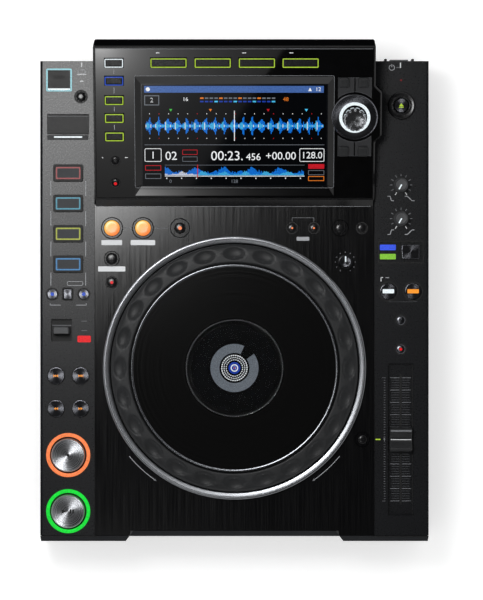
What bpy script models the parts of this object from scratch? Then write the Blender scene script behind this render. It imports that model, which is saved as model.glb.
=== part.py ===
"""A tabletop disc player for disc jockeys, with a slot for the disc in its front.

+Z is up, +Y points at the rear, and the origin is on the table under the middle of the case.
"""

import math

import bmesh
import bpy

MM = 0.001

# Case
CASE_WIDTH = 320.0 * MM
CASE_DEPTH = 413.4 * MM
CASE_HEIGHT = 118.2 * MM
DECK_HEIGHT = 78.0 * MM
WING_WIDTH = 44.8 * MM
WING_SETBACK = 17.1 * MM
WALL = 2.5 * MM
CASE_ROUND = 2.0 * MM
GAP = 0.3 * MM
OVERRUN = 2.0 * MM
WELD_OVERLAP = 0.5 * MM
MERGE = 0.01 * MM

# Base, feet and screws
BASE_LEVEL = 8.0 * MM
BASE_THICK = 1.2 * MM
FOOT_RADIUS = 12.0 * MM
FOOT_TAPER = 1.5 * MM
FOOT_SIDE_INSET = 30.0 * MM
FOOT_FRONT_INSET = 28.0 * MM
FOOT_REAR_INSET = 42.0 * MM
VENT_LENGTH = 42.0 * MM
VENT_WIDTH = 3.0 * MM
VENT_PITCH = 9.0 * MM
VENT_COUNT = 5
SCREW_HEAD_RADIUS = 2.0 * MM
SCREW_HEAD_THICK = 1.2 * MM
PILLAR_RADIUS = 2.5 * MM
PILLAR_SIDE_INSET = 5.0 * MM
PILLAR_END_INSET = 5.5 * MM
PILLAR_FRONT_INSET = 3.0 * MM

# Front panel and disc slot
FRONT_SLOPE_RUN = 5.3 * MM
FRONT_SLOPE_DROP = 14.0 * MM
FRONT_THICK = 10.5 * MM
FRONT_WALL = 2.0 * MM
RECESS_DEPTH = 4.1 * MM
RECESS_WIDTH = 172.0 * MM
RECESS_FLARE = 4.0 * MM
SLOT_WIDTH = 126.0 * MM
SLOT_HEIGHT = 5.6 * MM
SLOT_LEVEL = 48.3 * MM
SLOT_LIP = 2.0 * MM

# Display housing, its gloss panel and the screen
HOUSING_SIDE_CLEAR = 0.2 * MM
HOUSING_DEPTH = 137.4 * MM
HOUSING_LIP_RUN = 5.8 * MM
HOUSING_LIP_RISE = 5.5 * MM
HOUSING_REAR_DROP = 30.2 * MM
HOUSING_ROUND = 1.0 * MM
RIDGE_SETBACK = 7.7 * MM
EAR_REACH = 5.3 * MM
EAR_DEPTH = 10.0 * MM
EAR_SPAN_SHARES = (0.374, 0.743)
PANEL_MARGIN = 2.0 * MM
PANEL_THICK = 3.0 * MM
PANEL_LEDGE = 2.0 * MM
SCREEN_SIDE_BAND = 38.6 * MM
SCREEN_LENGTH = 86.0 * MM
SCREEN_THICK = 5.5 * MM
SCREEN_BORDER = 5.0 * MM
SCREEN_CENTRE_SHARE = 0.417
SCREEN_BEVEL_SIDE = 5.0 * MM
SCREEN_BEVEL_FRONT = 7.0 * MM
SCREEN_BEVEL_REAR = 6.6 * MM
DISPLAY_BOARD_BORDER = 5.0 * MM
PANEL_POST_RADIUS = 2.5 * MM

# Jog wheel
JOG_PLACE_SHARES = (0.0, 0.489)
JOG_SIDE_CLEAR = 6.8 * MM
JOG_END_CLEAR = 26.95 * MM
JOG_RING_CLEAR = 0.7 * MM
JOG_GRIP_WIDTH = 14.8 * MM
JOG_RISE = 9.6 * MM
JOG_SHOULDER_RISE = 5.0 * MM
JOG_SKIRT = 4.0 * MM
JOG_WEB_THICK = 2.5 * MM
JOG_SEAT_WIDTH = 6.0 * MM
DIMPLE_COUNT = 24
DIMPLE_LENGTH = 17.0 * MM
DIMPLE_WIDTH = 10.4 * MM
DIMPLE_DEPTH = 2.2 * MM
PLATE_THICK = 2.6 * MM
WINDOW_RADIUS = 40.2 * MM
WINDOW_THICK = 1.4 * MM
WINDOW_LEDGE = 2.5 * MM
TRIM_WIDTH = 6.1 * MM
TRIM_RISE = 4.5 * MM
TRIM_INNER_SHARE = 2 / 3
DISH_CLEAR = 2.9 * MM
DISH_RIM_INSET = 0.9 * MM
DISH_DEPTH = 8.0 * MM
DISH_THICK = 1.8 * MM
POST_RADIUS = 12.0 * MM
JOG_DISPLAY_RADIUS = 36.0 * MM
JOG_DISPLAY_THICK = 2.2 * MM
JOG_DISPLAY_CLEAR = 2.5 * MM
JOG_CREST_WIDTH = 1.4 * MM
JOG_CURVE_STEPS = 3

# Keys that press: travel, how far they stand out, and the flange that keeps them in
KEY_TRAVEL = 1.0 * MM
KEY_PROUD = 1.8 * MM
KEY_CHAMFER = 0.5 * MM
KEY_FLANGE = 1.2 * MM
KEY_RIM = 1.2 * MM
STRIP_WIDTH = 3.0 * MM
COLLAR_RISE = 1.5 * MM
SMALL_KEY_RADIUS = 4.0 * MM
SLIP_KEY_RADIUS = 4.4 * MM
BEAT_KEY_RADIUS = 4.9 * MM
BEAT_COLLAR_RADIUS = 6.6 * MM
RELOOP_KEY_RADIUS = 4.6 * MM
RELOOP_COLLAR_RADIUS = 8.4 * MM
DELETE_KEY_RADIUS = 4.4 * MM
DELETE_COLLAR_RADIUS = 7.2 * MM
LOOP_KEY_RADIUS = 6.8 * MM
LOOP_COLLAR_RADIUS = 9.2 * MM
RESET_KEY_RADIUS = 3.9 * MM
RESET_COLLAR_RADIUS = 6.5 * MM
SEARCH_KEY_RADIUS = 6.9 * MM
SYNC_KEY_RADIUS = 6.8 * MM
EJECT_KEY_RADIUS = 6.4 * MM
EJECT_COLLAR_RADIUS = 11.3 * MM
EJECT_COLLAR_RISE = 3.0 * MM
PAD_WIDTH = 22.0 * MM
PAD_LENGTH = 11.8 * MM
JOG_MODE_WIDTH = 14.0 * MM
JOG_MODE_LENGTH = 11.2 * MM
JOG_MODE_TRAY_WIDTH = 38.5 * MM
JOG_MODE_TRAY_LENGTH = 17.2 * MM
JOG_MODE_TRAY_DEPTH = 1.0 * MM
BANK_KEY_WIDTH = 7.0 * MM
BANK_KEY_LENGTH = 8.4 * MM
MENU_KEY_SPACE = 8.6 * MM
MENU_KEY_LENGTH = 8.1 * MM
SOURCE_KEY_WIDTH = 15.5 * MM
SOURCE_KEY_LENGTH = 7.7 * MM
SELECTOR_KEY_SIZE = 8.4 * MM

# Cue and play buttons and the light guide round them
CUE_KEY_RADIUS = 13.7 * MM
CUE_KEY_PROUD = 5.0 * MM
CUE_KEY_DISH = 0.9 * MM
CUE_KEY_TRAVEL = 1.2 * MM
CUE_DISH_SLOPE_SHARE = 3 / 4
CUE_KEY_RIM = 2.6 * MM
LIGHT_INNER = 14.9 * MM
LIGHT_OUTER = 18.2 * MM
LIGHT_PROUD = 1.8 * MM
LIGHT_RIM = 0.6 * MM
LIGHT_BAR_WIDTH = 8.0 * MM

# Knobs, selector, fader and lever
KNOB_RADIUS = 5.9 * MM
KNOB_HEIGHT = 11.0 * MM
KNOB_SHAFT_RADIUS = 3.0 * MM
KNOB_POINTER_WIDTH = 0.9 * MM
SELECTOR_RADIUS = 9.2 * MM
SELECTOR_HEIGHT = 10.4 * MM
SELECTOR_TRAVEL = 0.8 * MM
SELECTOR_CAP_THICK = 2.7 * MM
SELECTOR_SCALLOPS = 12
SELECTOR_SCALLOP_RADIUS = 1.5 * MM
SELECTOR_PLINTH_RADIUS = 18.8 * MM
SELECTOR_PLINTH_RISE = 1.5 * MM
SELECTOR_RING_RADIUS = 12.7 * MM
SELECTOR_RING_RISE = 2.4 * MM
FADER_TRAVEL = 100.0 * MM
FADER_TRAY_WIDTH = 20.7 * MM
FADER_TRAY_LENGTH = 125.1 * MM
FADER_TRAY_DEPTH = 3.0 * MM
FADER_TRAY_WALL = 1.5 * MM
FADER_SLOT_WIDTH = 1.8 * MM
FADER_CAP_WIDTH = 18.4 * MM
FADER_CAP_LENGTH = 20.6 * MM
FADER_CAP_HEIGHT = 10.0 * MM
FADER_CAP_WAIST = 3.2 * MM
FADER_STEM_LENGTH = 6.0 * MM
FADER_STEM_DEPTH = 8.0 * MM
FADER_RAIL_WIDTH = 12.0 * MM
FADER_RAIL_HEIGHT = 12.0 * MM
LEVER_TRAY_WIDTH = 17.1 * MM
LEVER_TRAY_LENGTH = 18.4 * MM
LEVER_TRAY_DEPTH = 4.0 * MM
LEVER_TRAY_FLOOR = 1.2 * MM
LEVER_SWING = math.radians(12.0)
LEVER_WIDTH = 14.2 * MM
LEVER_LENGTH = 6.4 * MM
LEVER_RISE = 8.0 * MM
LEVER_STEM_WIDTH = 6.0 * MM
LEVER_STEM_LENGTH = 3.0 * MM
LEVER_PIVOT_RADIUS = 2.0 * MM
LEVER_PIVOT_LEVEL = 7.8 * MM
LEVER_PADDLE_RISE = 5.0 * MM
LEVER_PIVOT_LENGTH = 9.0 * MM
LEVER_CRADLE_WIDTH = 12.0 * MM
LEVER_CRADLE_LENGTH = 7.0 * MM
LEVER_TAPER_SHARE = 0.85

# Wells with lids for the USB stick and the memory card
WELL_WALL = 1.5 * MM
WELL_FLOOR = 1.2 * MM
WELL_DEPTH = 8.8 * MM
LID_THICK = 1.6 * MM
LID_INSET = 0.2 * MM
LID_HINGE_INSET = 1.2 * MM
LID_PIN_RADIUS = 0.7 * MM
LID_PIN_REACH = 0.9 * MM
USB_LID_WIDTH = 17.4 * MM
USB_LID_LENGTH = 15.2 * MM
USB_FRAME_RISE = 0.4 * MM
USB_FRAME_WIDTH = 21.7 * MM
USB_FRAME_LENGTH = 19.4 * MM
USB_SOCKET_WIDTH = 14.4 * MM
USB_SOCKET_LENGTH = 7.0 * MM
CARD_LID_WIDTH = 34.0 * MM
CARD_LID_LENGTH = 16.2 * MM
CARD_SOCKET_WIDTH = 26.0 * MM
CARD_SOCKET_LENGTH = 4.0 * MM
SOCKET_PROUD = 0.4 * MM
FINGER_NOTCH = 8.0 * MM
FINGER_NOTCH_DEPTH = 1.6 * MM

# Power switch
POWER_WIDTH = 15.4 * MM
POWER_HEIGHT = 10.0 * MM
POWER_BULGE = 2.4 * MM
POWER_BODY_DEPTH = 3.0 * MM
POWER_EDGE = 1.4 * MM
POWER_PIN_RADIUS = 0.5 * MM
POWER_TILT = math.radians(6.0)
POWER_CLEARANCE = 0.6 * MM
POWER_LEVEL = 58.0 * MM
POWER_RIB_THICK = 2.0 * MM
POWER_RIB_REACH = 2.7 * MM
POWER_RIB_HEIGHT = 16.0 * MM

# Boards and their switches
BOARD_MARGIN = 7.0 * MM
BOARD_SIDE_INSET = 4.0 * MM
POST_INSET = 5.0 * MM
POST_PEG_RADIUS = 2.0 * MM
SWITCH_WIDTH = 6.0 * MM
SWITCH_HEIGHT = 5.0 * MM
BOARD_THICK = 1.6 * MM
BOARD_STANDOFF = 8.0 * MM
STANDOFF_RADIUS = 3.0 * MM
MAIN_BOARD_WIDTH = 210.0 * MM
MAIN_BOARD_LENGTH = 120.0 * MM
SUPPLY_WIDTH = 92.0 * MM
SUPPLY_LENGTH = 86.0 * MM
JACK_BOARD_WIDTH = 134.0 * MM
JACK_BOARD_LENGTH = 34.0 * MM
BOARD_SPACE = 2.2 * MM
PROCESSOR_WIDTH = 28.0 * MM
CHIP_WIDTH = 12.0 * MM
CHIP_LENGTH = 20.0 * MM
CHIP_HEIGHT = 2.6 * MM
CONNECTOR_LENGTH = 30.0 * MM
CONNECTOR_HEIGHT = 9.0 * MM
TRANSFORMER_WIDTH = 30.0 * MM
TRANSFORMER_HEIGHT = 26.0 * MM
HEAT_SINK_WIDTH = 34.0 * MM
HEAT_SINK_THICK = 4.0 * MM

# Sockets of the rear panel
SOCKET_LEVEL = 9.0 * MM
PHONO_RADIUS = 4.2 * MM
PHONO_BORE = 1.8 * MM
PHONO_REACH = 8.0 * MM
PHONO_BODY = 13.0 * MM
CONTROL_RADIUS = 3.6 * MM
CONTROL_REACH = 1.5 * MM
NETWORK_WIDTH = 16.0 * MM
NETWORK_HEIGHT = 13.4 * MM
NETWORK_DEPTH = 18.0 * MM
NETWORK_MOUTH_WIDTH = 11.8 * MM
NETWORK_MOUTH_HEIGHT = 8.4 * MM
NETWORK_MOUTH_DEPTH = 12.0 * MM
DATA_WIDTH = 12.0 * MM
DATA_HEIGHT = 11.0 * MM
DATA_MOUTH_WIDTH = 8.6 * MM
DATA_MOUTH_HEIGHT = 7.8 * MM
DATA_TONGUE_WIDTH = 5.6 * MM
DATA_TONGUE_HEIGHT = 3.2 * MM
DATA_MOUTH_DEPTH = 9.0 * MM
INLET_WIDTH = 24.0 * MM
INLET_HEIGHT = 16.0 * MM
INLET_DEPTH = 20.0 * MM
INLET_MOUTH_WIDTH = 14.8 * MM
INLET_MOUTH_HEIGHT = 8.6 * MM
INLET_MOUTH_DEPTH = 14.0 * MM
INLET_PIN_RADIUS = 1.2 * MM
INLET_PIN_SPACING = 8.6 * MM
LOCK_SLOT_WIDTH = 7.0 * MM
LOCK_SLOT_HEIGHT = 3.0 * MM

# Disc drive
DRIVE_WIDTH = 144.0 * MM
DRIVE_LENGTH = 134.0 * MM
DRIVE_FRONT_INSET = 12.0 * MM
DRIVE_SHEET = 1.6 * MM
DRIVE_FLOOR_DROP = 11.5 * MM
DRIVE_ROOF_RISE = 9.0 * MM
DRIVE_LEG_RADIUS = 4.0 * MM
DRIVE_LEG_INSET = 8.0 * MM
PATH_HALF = 2.6 * MM
HUB_INSET = 74.0 * MM
HUB_TABLE_RADIUS = 13.0 * MM
HUB_TABLE_THICK = 2.0 * MM
HUB_SHAFT_RADIUS = 3.0 * MM
HUB_NOSE_RADIUS = 7.2 * MM
HUB_NOSE_RISE = 0.4 * MM
MOTOR_RADIUS = 9.0 * MM
CLAMP_RADIUS = 14.0 * MM
SLED_WIDTH = 44.0 * MM
SLED_LENGTH = 14.0 * MM
SLED_HEIGHT = 5.4 * MM
SLED_TRAVEL = 34.0 * MM
SLED_REST_OFFSET = 24.0 * MM
LENS_RADIUS = 3.6 * MM
LENS_RISE = 0.5 * MM
ROD_RADIUS = 1.5 * MM
ROD_SPACING = 32.0 * MM
ROD_RISE = 4.0 * MM
ROD_END_THICK = 2.0 * MM
ROLLER_RADIUS = 3.4 * MM
ROLLER_WAIST_RADIUS = 2.9 * MM
ROLLER_LENGTH = 124.0 * MM
ROLLER_SHAFT_RADIUS = 1.3 * MM
ROLLER_INSET = 8.0 * MM

# Sides of round shapes
JOG_SIDES = 48
PLATE_SIDES = 32
LARGE_SIDES = 16
MEDIUM_SIDES = 12
SMALL_SIDES = 8
PIN_SIDES = 6
DIMPLE_SIDES = 8
DIMPLE_RINGS = 4

# Places on the left wing: share across from the outer edge, share along from the rear
LEFT_SHARES = {
    "usb_well": (0.347, 0.040),
    "usb_stop": (0.750, 0.075),
    "card_well": (0.513, 0.133),
    "pad_a": (0.516, 0.236),
    "pad_b": (0.516, 0.300),
    "pad_c": (0.516, 0.364),
    "pad_d": (0.516, 0.428),
    "bank_left": (0.226, 0.491),
    "bank_middle": (0.507, 0.491),
    "bank_right": (0.803, 0.491),
    "lever": (0.393, 0.567),
    "track_back": (0.292, 0.663),
    "track_next": (0.744, 0.663),
    "search_back": (0.292, 0.732),
    "search_next": (0.744, 0.732),
    "cue": (0.516, 0.830),
    "play": (0.516, 0.948),
}
# Places on the right wing, measured the same way
RIGHT_SHARES = {
    "power": (0.531, 0.0),
    "eject": (0.507, 0.094),
    "brake": (0.509, 0.261),
    "release": (0.509, 0.332),
    "jog_mode_tray": (0.513, 0.402),
    "jog_mode": (0.338, 0.402),
    "sync": (0.744, 0.485),
    "master": (0.289, 0.485),
    "tempo_range": (0.516, 0.546),
    "master_tempo": (0.516, 0.607),
    "fader": (0.515, 0.797),
}
# Places on the deck: share of the half width, share along from the display housing
DECK_SHARES = {
    "loop_in": (-0.875, 0.064),
    "loop_out": (-0.654, 0.064),
    "reloop": (-0.389, 0.064),
    "beat": (-0.877, 0.157),
    "slip": (-0.877, 0.229),
    "call_left": (0.412, 0.064),
    "call_right": (0.568, 0.064),
    "delete": (0.756, 0.064),
    "memory": (0.911, 0.064),
    "jog_adjust": (0.792, 0.167),
    "tempo_reset": (0.914, 0.707),
}
# Places beside the screen: share of the band there, outward, and share up the panel's slope
LEFT_BAND_SHARES = {
    "source_1": (0.559, 0.892),
    "source_2": (0.559, 0.777),
    "source_3": (0.559, 0.651),
    "source_4": (0.559, 0.535),
    "source_5": (0.559, 0.415),
    "time_mode": (0.550, 0.254),
    "quantize": (0.550, 0.110),
}
RIGHT_BAND_SHARES = {
    "selector": (0.565, 0.542),
    "selector_back": (0.336, 0.765),
    "selector_tag": (0.747, 0.765),
    "selector_filter": (0.336, 0.318),
    "selector_short": (0.747, 0.318),
}
# Places behind the screen: share of the screen's half width, share up the slope
MENU_SHARES = {
    "menu_1": (-0.700, 0.893),
    "menu_2": (-0.230, 0.893),
    "menu_3": (0.239, 0.893),
    "menu_4": (0.705, 0.893),
}
# Places along the rear panel: share of the half width
REAR_SHARES = {
    "inlet": 0.58,
    "network": 0.06,
    "data": -0.09,
    "digital": -0.24,
    "audio_right": -0.36,
    "audio_left": -0.46,
    "control": -0.58,
    "lock": -0.82,
}
# The inner boards: share along the case for the main board, and share of the half width for the
# line that parts the other two
MAIN_BOARD_SHARE = 0.16
PARTING_SHARE = 0.1256
# Parts on the inner boards: shares of the board's half width and half length
MAIN_PART_SHARES = {
    "processor": (-0.25, 0.15),
    "memory_rear": (-0.62, 0.30),
    "memory_front": (-0.62, -0.20),
    "sound_chip": (0.30, 0.35),
    "connector_right": (0.55, -0.70),
    "connector_left": (-0.30, -0.70),
}
SUPPLY_PART_SHARES = {"transformer": (-0.35, -0.10), "heat_sink": (0.45, -0.60), "filter": (0.45, 0.05)}
# Pegs under the plates that hold the key boards
LEFT_PEG_SHARES = ((0.18, 0.19), (0.12, 0.46), (0.15, 0.62), (0.15, 0.78))
RIGHT_PEG_SHARES = ((0.15, 0.20), (0.13, 0.37), (0.15, 0.58), (0.13, 0.868))
DECK_PEG_SHARES = ((-0.52, 0.045), (0.05, 0.045), (0.66, 0.045))

PANEL_POST_SHARES = ((-0.67, 0.93), (0.67, 0.93), (-0.93, 0.07), (0.93, 0.07))
SOURCE_KEYS = ("source_1", "source_2", "source_3", "source_4", "source_5")
MODE_KEYS = ("time_mode", "quantize")
MENU_KEYS = ("menu_1", "menu_2", "menu_3", "menu_4")
SELECTOR_KEYS = ("selector_back", "selector_tag", "selector_short", "selector_filter")

# Lines and levels worked out from the sizes above
HALF_WIDTH = CASE_WIDTH / 2
REAR_Y = CASE_DEPTH / 2
FRONT_Y = -REAR_Y
WING_REAR_Y = REAR_Y - WING_SETBACK
FACE_Y = FRONT_Y + FRONT_SLOPE_RUN
WING_LENGTH = WING_REAR_Y - FACE_Y
SEAM_X = HALF_WIDTH - WING_WIDTH
HOUSING_WIDTH = 2 * (SEAM_X - HOUSING_SIDE_CLEAR)
SCREEN_WIDTH = HOUSING_WIDTH - 2 * SCREEN_SIDE_BAND
MENU_KEY_WIDTH = SCREEN_WIDTH / len(MENU_KEYS) - MENU_KEY_SPACE
HOUSING_FRONT_Y = REAR_Y - HOUSING_DEPTH
HOUSING_BOTTOM = DECK_HEIGHT + GAP
RIDGE_Y = REAR_Y - RIDGE_SETBACK
LIP_Y = HOUSING_FRONT_Y + HOUSING_LIP_RUN
LIP_Z = HOUSING_BOTTOM + HOUSING_LIP_RISE
TILT = math.atan2(CASE_HEIGHT - LIP_Z, RIDGE_Y - LIP_Y)
SLOPE_LENGTH = math.hypot(CASE_HEIGHT - LIP_Z, RIDGE_Y - LIP_Y)
DECK_LENGTH = HOUSING_FRONT_Y - FACE_Y
TRIM_OUTER = min(SEAM_X - JOG_SIDE_CLEAR, DECK_LENGTH / 2 - JOG_END_CLEAR)
TRIM_INNER = TRIM_OUTER - TRIM_WIDTH
JOG_RADIUS = TRIM_INNER - JOG_RING_CLEAR
JOG_GRIP_INNER = JOG_RADIUS - JOG_GRIP_WIDTH
PLATE_RADIUS = JOG_GRIP_INNER - 2 * GAP
DISH_RADIUS = JOG_RADIUS + DISH_CLEAR
DISH_RIM = TRIM_OUTER - DISH_RIM_INSET
PLATE_UNDERSIDE = DECK_HEIGHT - WALL
BASE_TOP = BASE_LEVEL + BASE_THICK
INNER_X = HALF_WIDTH - WALL - GAP
FLANGE_DROP = GAP + KEY_FLANGE
SWITCH_DROP = WALL + FLANGE_DROP + KEY_TRAVEL + GAP
BOARD_TOP = DECK_HEIGHT - SWITCH_DROP - SWITCH_HEIGHT
PANEL_SWITCH_DROP = PANEL_THICK + FLANGE_DROP + KEY_TRAVEL + GAP
PANEL_BOARD_DROP = PANEL_SWITCH_DROP + SWITCH_HEIGHT
INNER_BOARD_TOP = BASE_TOP + BOARD_STANDOFF + BOARD_THICK
REAR_PANEL_Y = WING_REAR_Y - WALL / 2

SMOOTH_ANGLE = math.radians(32.0)
QUARTER_TURN = math.radians(90.0)
ALONG_X = (QUARTER_TURN, 0.0, QUARTER_TURN)
ALONG_Y = (QUARTER_TURN, 0.0, 0.0)


def clear_scene():
    for thing in list(bpy.data.objects):
        bpy.data.objects.remove(thing)


def new_collection(name):
    collection = bpy.data.collections.new(name)
    bpy.context.scene.collection.children.link(collection)
    return collection


def paint(piece, colour, roughness, metallic=0.0, alpha=1.0):
    """Gives a piece its own Principled material."""
    material = bpy.data.materials.new(piece.name)
    material.use_nodes = True
    shader = material.node_tree.nodes["Principled BSDF"]
    shader.inputs["Base Color"].default_value = (*colour, 1.0)
    shader.inputs["Roughness"].default_value = roughness
    shader.inputs["Metallic"].default_value = metallic
    shader.inputs["Alpha"].default_value = alpha
    piece.data.materials.clear()
    piece.data.materials.append(material)
    return piece


def new_piece(name, mesh, place=(0.0, 0.0, 0.0), turn=(0.0, 0.0, 0.0), parent=None):
    piece = bpy.data.objects.new(name, mesh)
    piece.location = place
    piece.rotation_euler = turn
    piece.parent = parent
    PARTS.objects.link(piece)
    return piece


def settle(piece):
    """Turns a piece with modifiers into the plain mesh that they make."""
    graph = bpy.context.evaluated_depsgraph_get()
    mesh = bpy.data.meshes.new_from_object(piece.evaluated_get(graph))
    mesh.name = piece.name
    piece.modifiers.clear()
    piece.data = mesh
    return piece


def rounded(piece, width, segments=1):
    bevel = piece.modifiers.new("Rounded edges", "BEVEL")
    bevel.width = width
    bevel.segments = segments
    bevel.limit_method = "ANGLE"
    return settle(piece)


def block(name, size, place=(0.0, 0.0, 0.0), turn=(0.0, 0.0, 0.0), parent=None, taper=1.0):
    """A box of a size about a place; taper narrows its top."""
    shape = bmesh.new()
    corners = bmesh.ops.create_cube(shape, size=1.0)["verts"]
    bmesh.ops.scale(shape, vec=size, verts=corners)
    top = [corner for corner in corners if corner.co.z > 0.0]
    bmesh.ops.scale(shape, vec=(taper, taper, 1.0), verts=top)
    mesh = bpy.data.meshes.new(name)
    shape.to_mesh(mesh)
    shape.free()
    return new_piece(name, mesh, place, turn, parent)


def block_between(name, low, high, parent=None):
    """A box given by its lowest and highest corners."""
    size = [top - bottom for bottom, top in zip(low, high)]
    centre = [(top + bottom) / 2 for bottom, top in zip(low, high)]
    return block(name, size, centre, parent=parent)


def rod(name, radius, length, place, turn=(0.0, 0.0, 0.0), parent=None, sides=SMALL_SIDES):
    """A cylinder about a place, along its own Z."""
    shape = bmesh.new()
    bmesh.ops.create_cone(
        shape, cap_ends=True, segments=sides, radius1=radius, radius2=radius, depth=length
    )
    mesh = bpy.data.meshes.new(name)
    shape.to_mesh(mesh)
    shape.free()
    return new_piece(name, mesh, place, turn, parent)


def turned(name, profile, place=(0.0, 0.0, 0.0), turn=(0.0, 0.0, 0.0), parent=None, sides=SMALL_SIDES):
    """A turned shape. Its profile of radius and height runs down the outer side."""
    closed = profile[0][0] > 0.0
    count = len(profile)
    edges = [(i, (i + 1) % count) for i in range(count if closed else count - 1)]
    mesh = bpy.data.meshes.new(name)
    mesh.from_pydata([(radius, 0.0, height) for radius, height in profile], edges, [])
    piece = new_piece(name, mesh, place, turn, parent)
    screw = piece.modifiers.new("Turned", "SCREW")
    screw.steps = sides
    screw.render_steps = sides
    screw.use_merge_vertices = True
    screw.merge_threshold = MERGE
    return settle(piece)


def slab(name, outline, thickness, place=(0.0, 0.0, 0.0), turn=(0.0, 0.0, 0.0), parent=None):
    """A flat outline of points, given a thickness about its own plane."""
    curve = bpy.data.curves.new(name, "CURVE")
    curve.dimensions = "2D"
    curve.fill_mode = "BOTH"
    curve.extrude = thickness / 2
    spline = curve.splines.new("POLY")
    spline.points.add(len(outline) - 1)
    for point, (x, y) in zip(spline.points, outline):
        point.co = (x, y, 0.0, 1.0)
    spline.use_cyclic_u = True
    drawn = bpy.data.objects.new(name, curve)
    PARTS.objects.link(drawn)
    graph = bpy.context.evaluated_depsgraph_get()
    mesh = bpy.data.meshes.new_from_object(drawn.evaluated_get(graph))
    bpy.data.objects.remove(drawn)
    shape = bmesh.new()
    shape.from_mesh(mesh)
    bmesh.ops.remove_doubles(shape, verts=shape.verts, dist=MERGE)
    bmesh.ops.recalc_face_normals(shape, faces=shape.faces)
    shape.to_mesh(mesh)
    shape.free()
    return new_piece(name, mesh, place, turn, parent)


def combine(piece, others, operation):
    """Joins other shapes to a piece, or cuts them from it, and removes them."""
    helpers = new_collection("Cutters")
    for other in others:
        PARTS.objects.unlink(other)
        helpers.objects.link(other)
        other.hide_render = True
        other.display_type = "WIRE"
    boolean = piece.modifiers.new(operation.title(), "BOOLEAN")
    boolean.operation = operation
    boolean.solver = "EXACT"
    boolean.operand_type = "COLLECTION"
    boolean.collection = helpers
    settle(piece)
    for other in others:
        bpy.data.objects.remove(other)
    bpy.data.collections.remove(helpers)
    return piece


def fuse(piece, others):
    return combine(piece, others, "UNION")


def cut(piece, others):
    return combine(piece, others, "DIFFERENCE")


def inset_outline(points, insets):
    """Moves each side of an anticlockwise convex outline inwards by its own inset."""
    sides = []
    for (x1, y1), (x2, y2), inset in zip(points, points[1:] + points[:1], insets):
        length = math.hypot(x2 - x1, y2 - y1)
        normal = ((y1 - y2) / length, (x2 - x1) / length)
        sides.append((normal, normal[0] * x1 + normal[1] * y1 + inset))
    moved = []
    for ((a, b), first), ((c, d), second) in zip(sides[-1:] + sides[:-1], sides):
        turn = a * d - b * c
        moved.append(((first * d - b * second) / turn, (a * second - first * c) / turn))
    return moved


def on_wing(side, shares):
    """The place on a wing's top: side is -1 on the left and 1 on the right."""
    across, along = shares
    return (side * (HALF_WIDTH - across * WING_WIDTH), WING_REAR_Y - along * WING_LENGTH)


def on_deck(shares):
    across, along = shares
    return (across * SEAM_X, HOUSING_FRONT_Y - along * DECK_LENGTH)


def on_panel(shares):
    """The place on the display panel's own plane."""
    across, along = shares
    return (across * HOUSING_WIDTH / 2, along * SLOPE_LENGTH)


def on_band(side, shares):
    """The place on the display panel's own plane, beside the screen."""
    outward, along = shares
    return (side * (SCREEN_WIDTH / 2 + outward * SCREEN_SIDE_BAND), along * SLOPE_LENGTH)


def on_menu(shares):
    """The place on the display panel's own plane, in the row behind the screen."""
    across, along = shares
    return (across * SCREEN_WIDTH / 2, along * SLOPE_LENGTH)


LEFT = {name: on_wing(-1, shares) for name, shares in LEFT_SHARES.items()}
RIGHT = {name: on_wing(1, shares) for name, shares in RIGHT_SHARES.items()}
DECK = {name: on_deck(shares) for name, shares in DECK_SHARES.items()}
PANEL = {name: on_band(-1, shares) for name, shares in LEFT_BAND_SHARES.items()}
PANEL.update({name: on_band(1, shares) for name, shares in RIGHT_BAND_SHARES.items()})
PANEL.update({name: on_menu(shares) for name, shares in MENU_SHARES.items()})
JOG = on_deck(JOG_PLACE_SHARES)


def case_point(place, level):
    return (place[0], place[1], level)


def side_cover(side, name):
    """A wing: an L-shaped moulding with a top plate and an outer wall."""
    outer = side * HALF_WIDTH
    inner = side * (SEAM_X + GAP / 2)
    wall = side * (HALF_WIDTH - WALL)
    outline = [
        (outer, BASE_LEVEL),
        (wall, BASE_LEVEL),
        (wall, PLATE_UNDERSIDE),
        (inner, PLATE_UNDERSIDE),
        (inner, DECK_HEIGHT),
        (outer - side * CASE_ROUND, DECK_HEIGHT),
        (outer - side * CASE_ROUND / 4, DECK_HEIGHT - CASE_ROUND / 4),
        (outer, DECK_HEIGHT - CASE_ROUND),
    ]
    front = FACE_Y + GAP
    middle = (WING_REAR_Y + front) / 2
    return slab(name, outline, WING_REAR_Y - front, (0.0, middle, 0.0), ALONG_Y)


def pillar_lines():
    """How far forward and back the corner pillars stand."""
    base_front = FRONT_Y + FRONT_THICK + GAP
    return base_front + PILLAR_FRONT_INSET, WING_REAR_Y - WALL - PILLAR_END_INSET


def corner_pillars(side):
    """Pillars that stand on the base plate under a wing's corners."""
    x = side * (HALF_WIDTH - PILLAR_SIDE_INSET)
    low = BASE_TOP + GAP
    high = PLATE_UNDERSIDE + WELD_OVERLAP
    pillars = []
    for y in pillar_lines():
        pillars.append(
            rod("pillar", PILLAR_RADIUS, high - low, (x, y, (low + high) / 2), sides=PIN_SIDES)
        )
    return pillars


def pegs(places):
    """Pegs that hang from a plate down to its key board."""
    low = BOARD_TOP + GAP
    high = PLATE_UNDERSIDE + WELD_OVERLAP
    return [
        rod("peg", POST_PEG_RADIUS, high - low, case_point(place, (low + high) / 2), sides=PIN_SIDES)
        for place in places
    ]


def hole(place, radius, sides=SMALL_SIDES, parent=None, thick=WALL):
    """A cutter for a round hole through a plate whose top is at the place."""
    height = thick + 2 * OVERRUN
    x, y, z = place
    return rod("hole", radius + GAP, height, (x, y, z - thick / 2), parent=parent, sides=sides)


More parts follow.
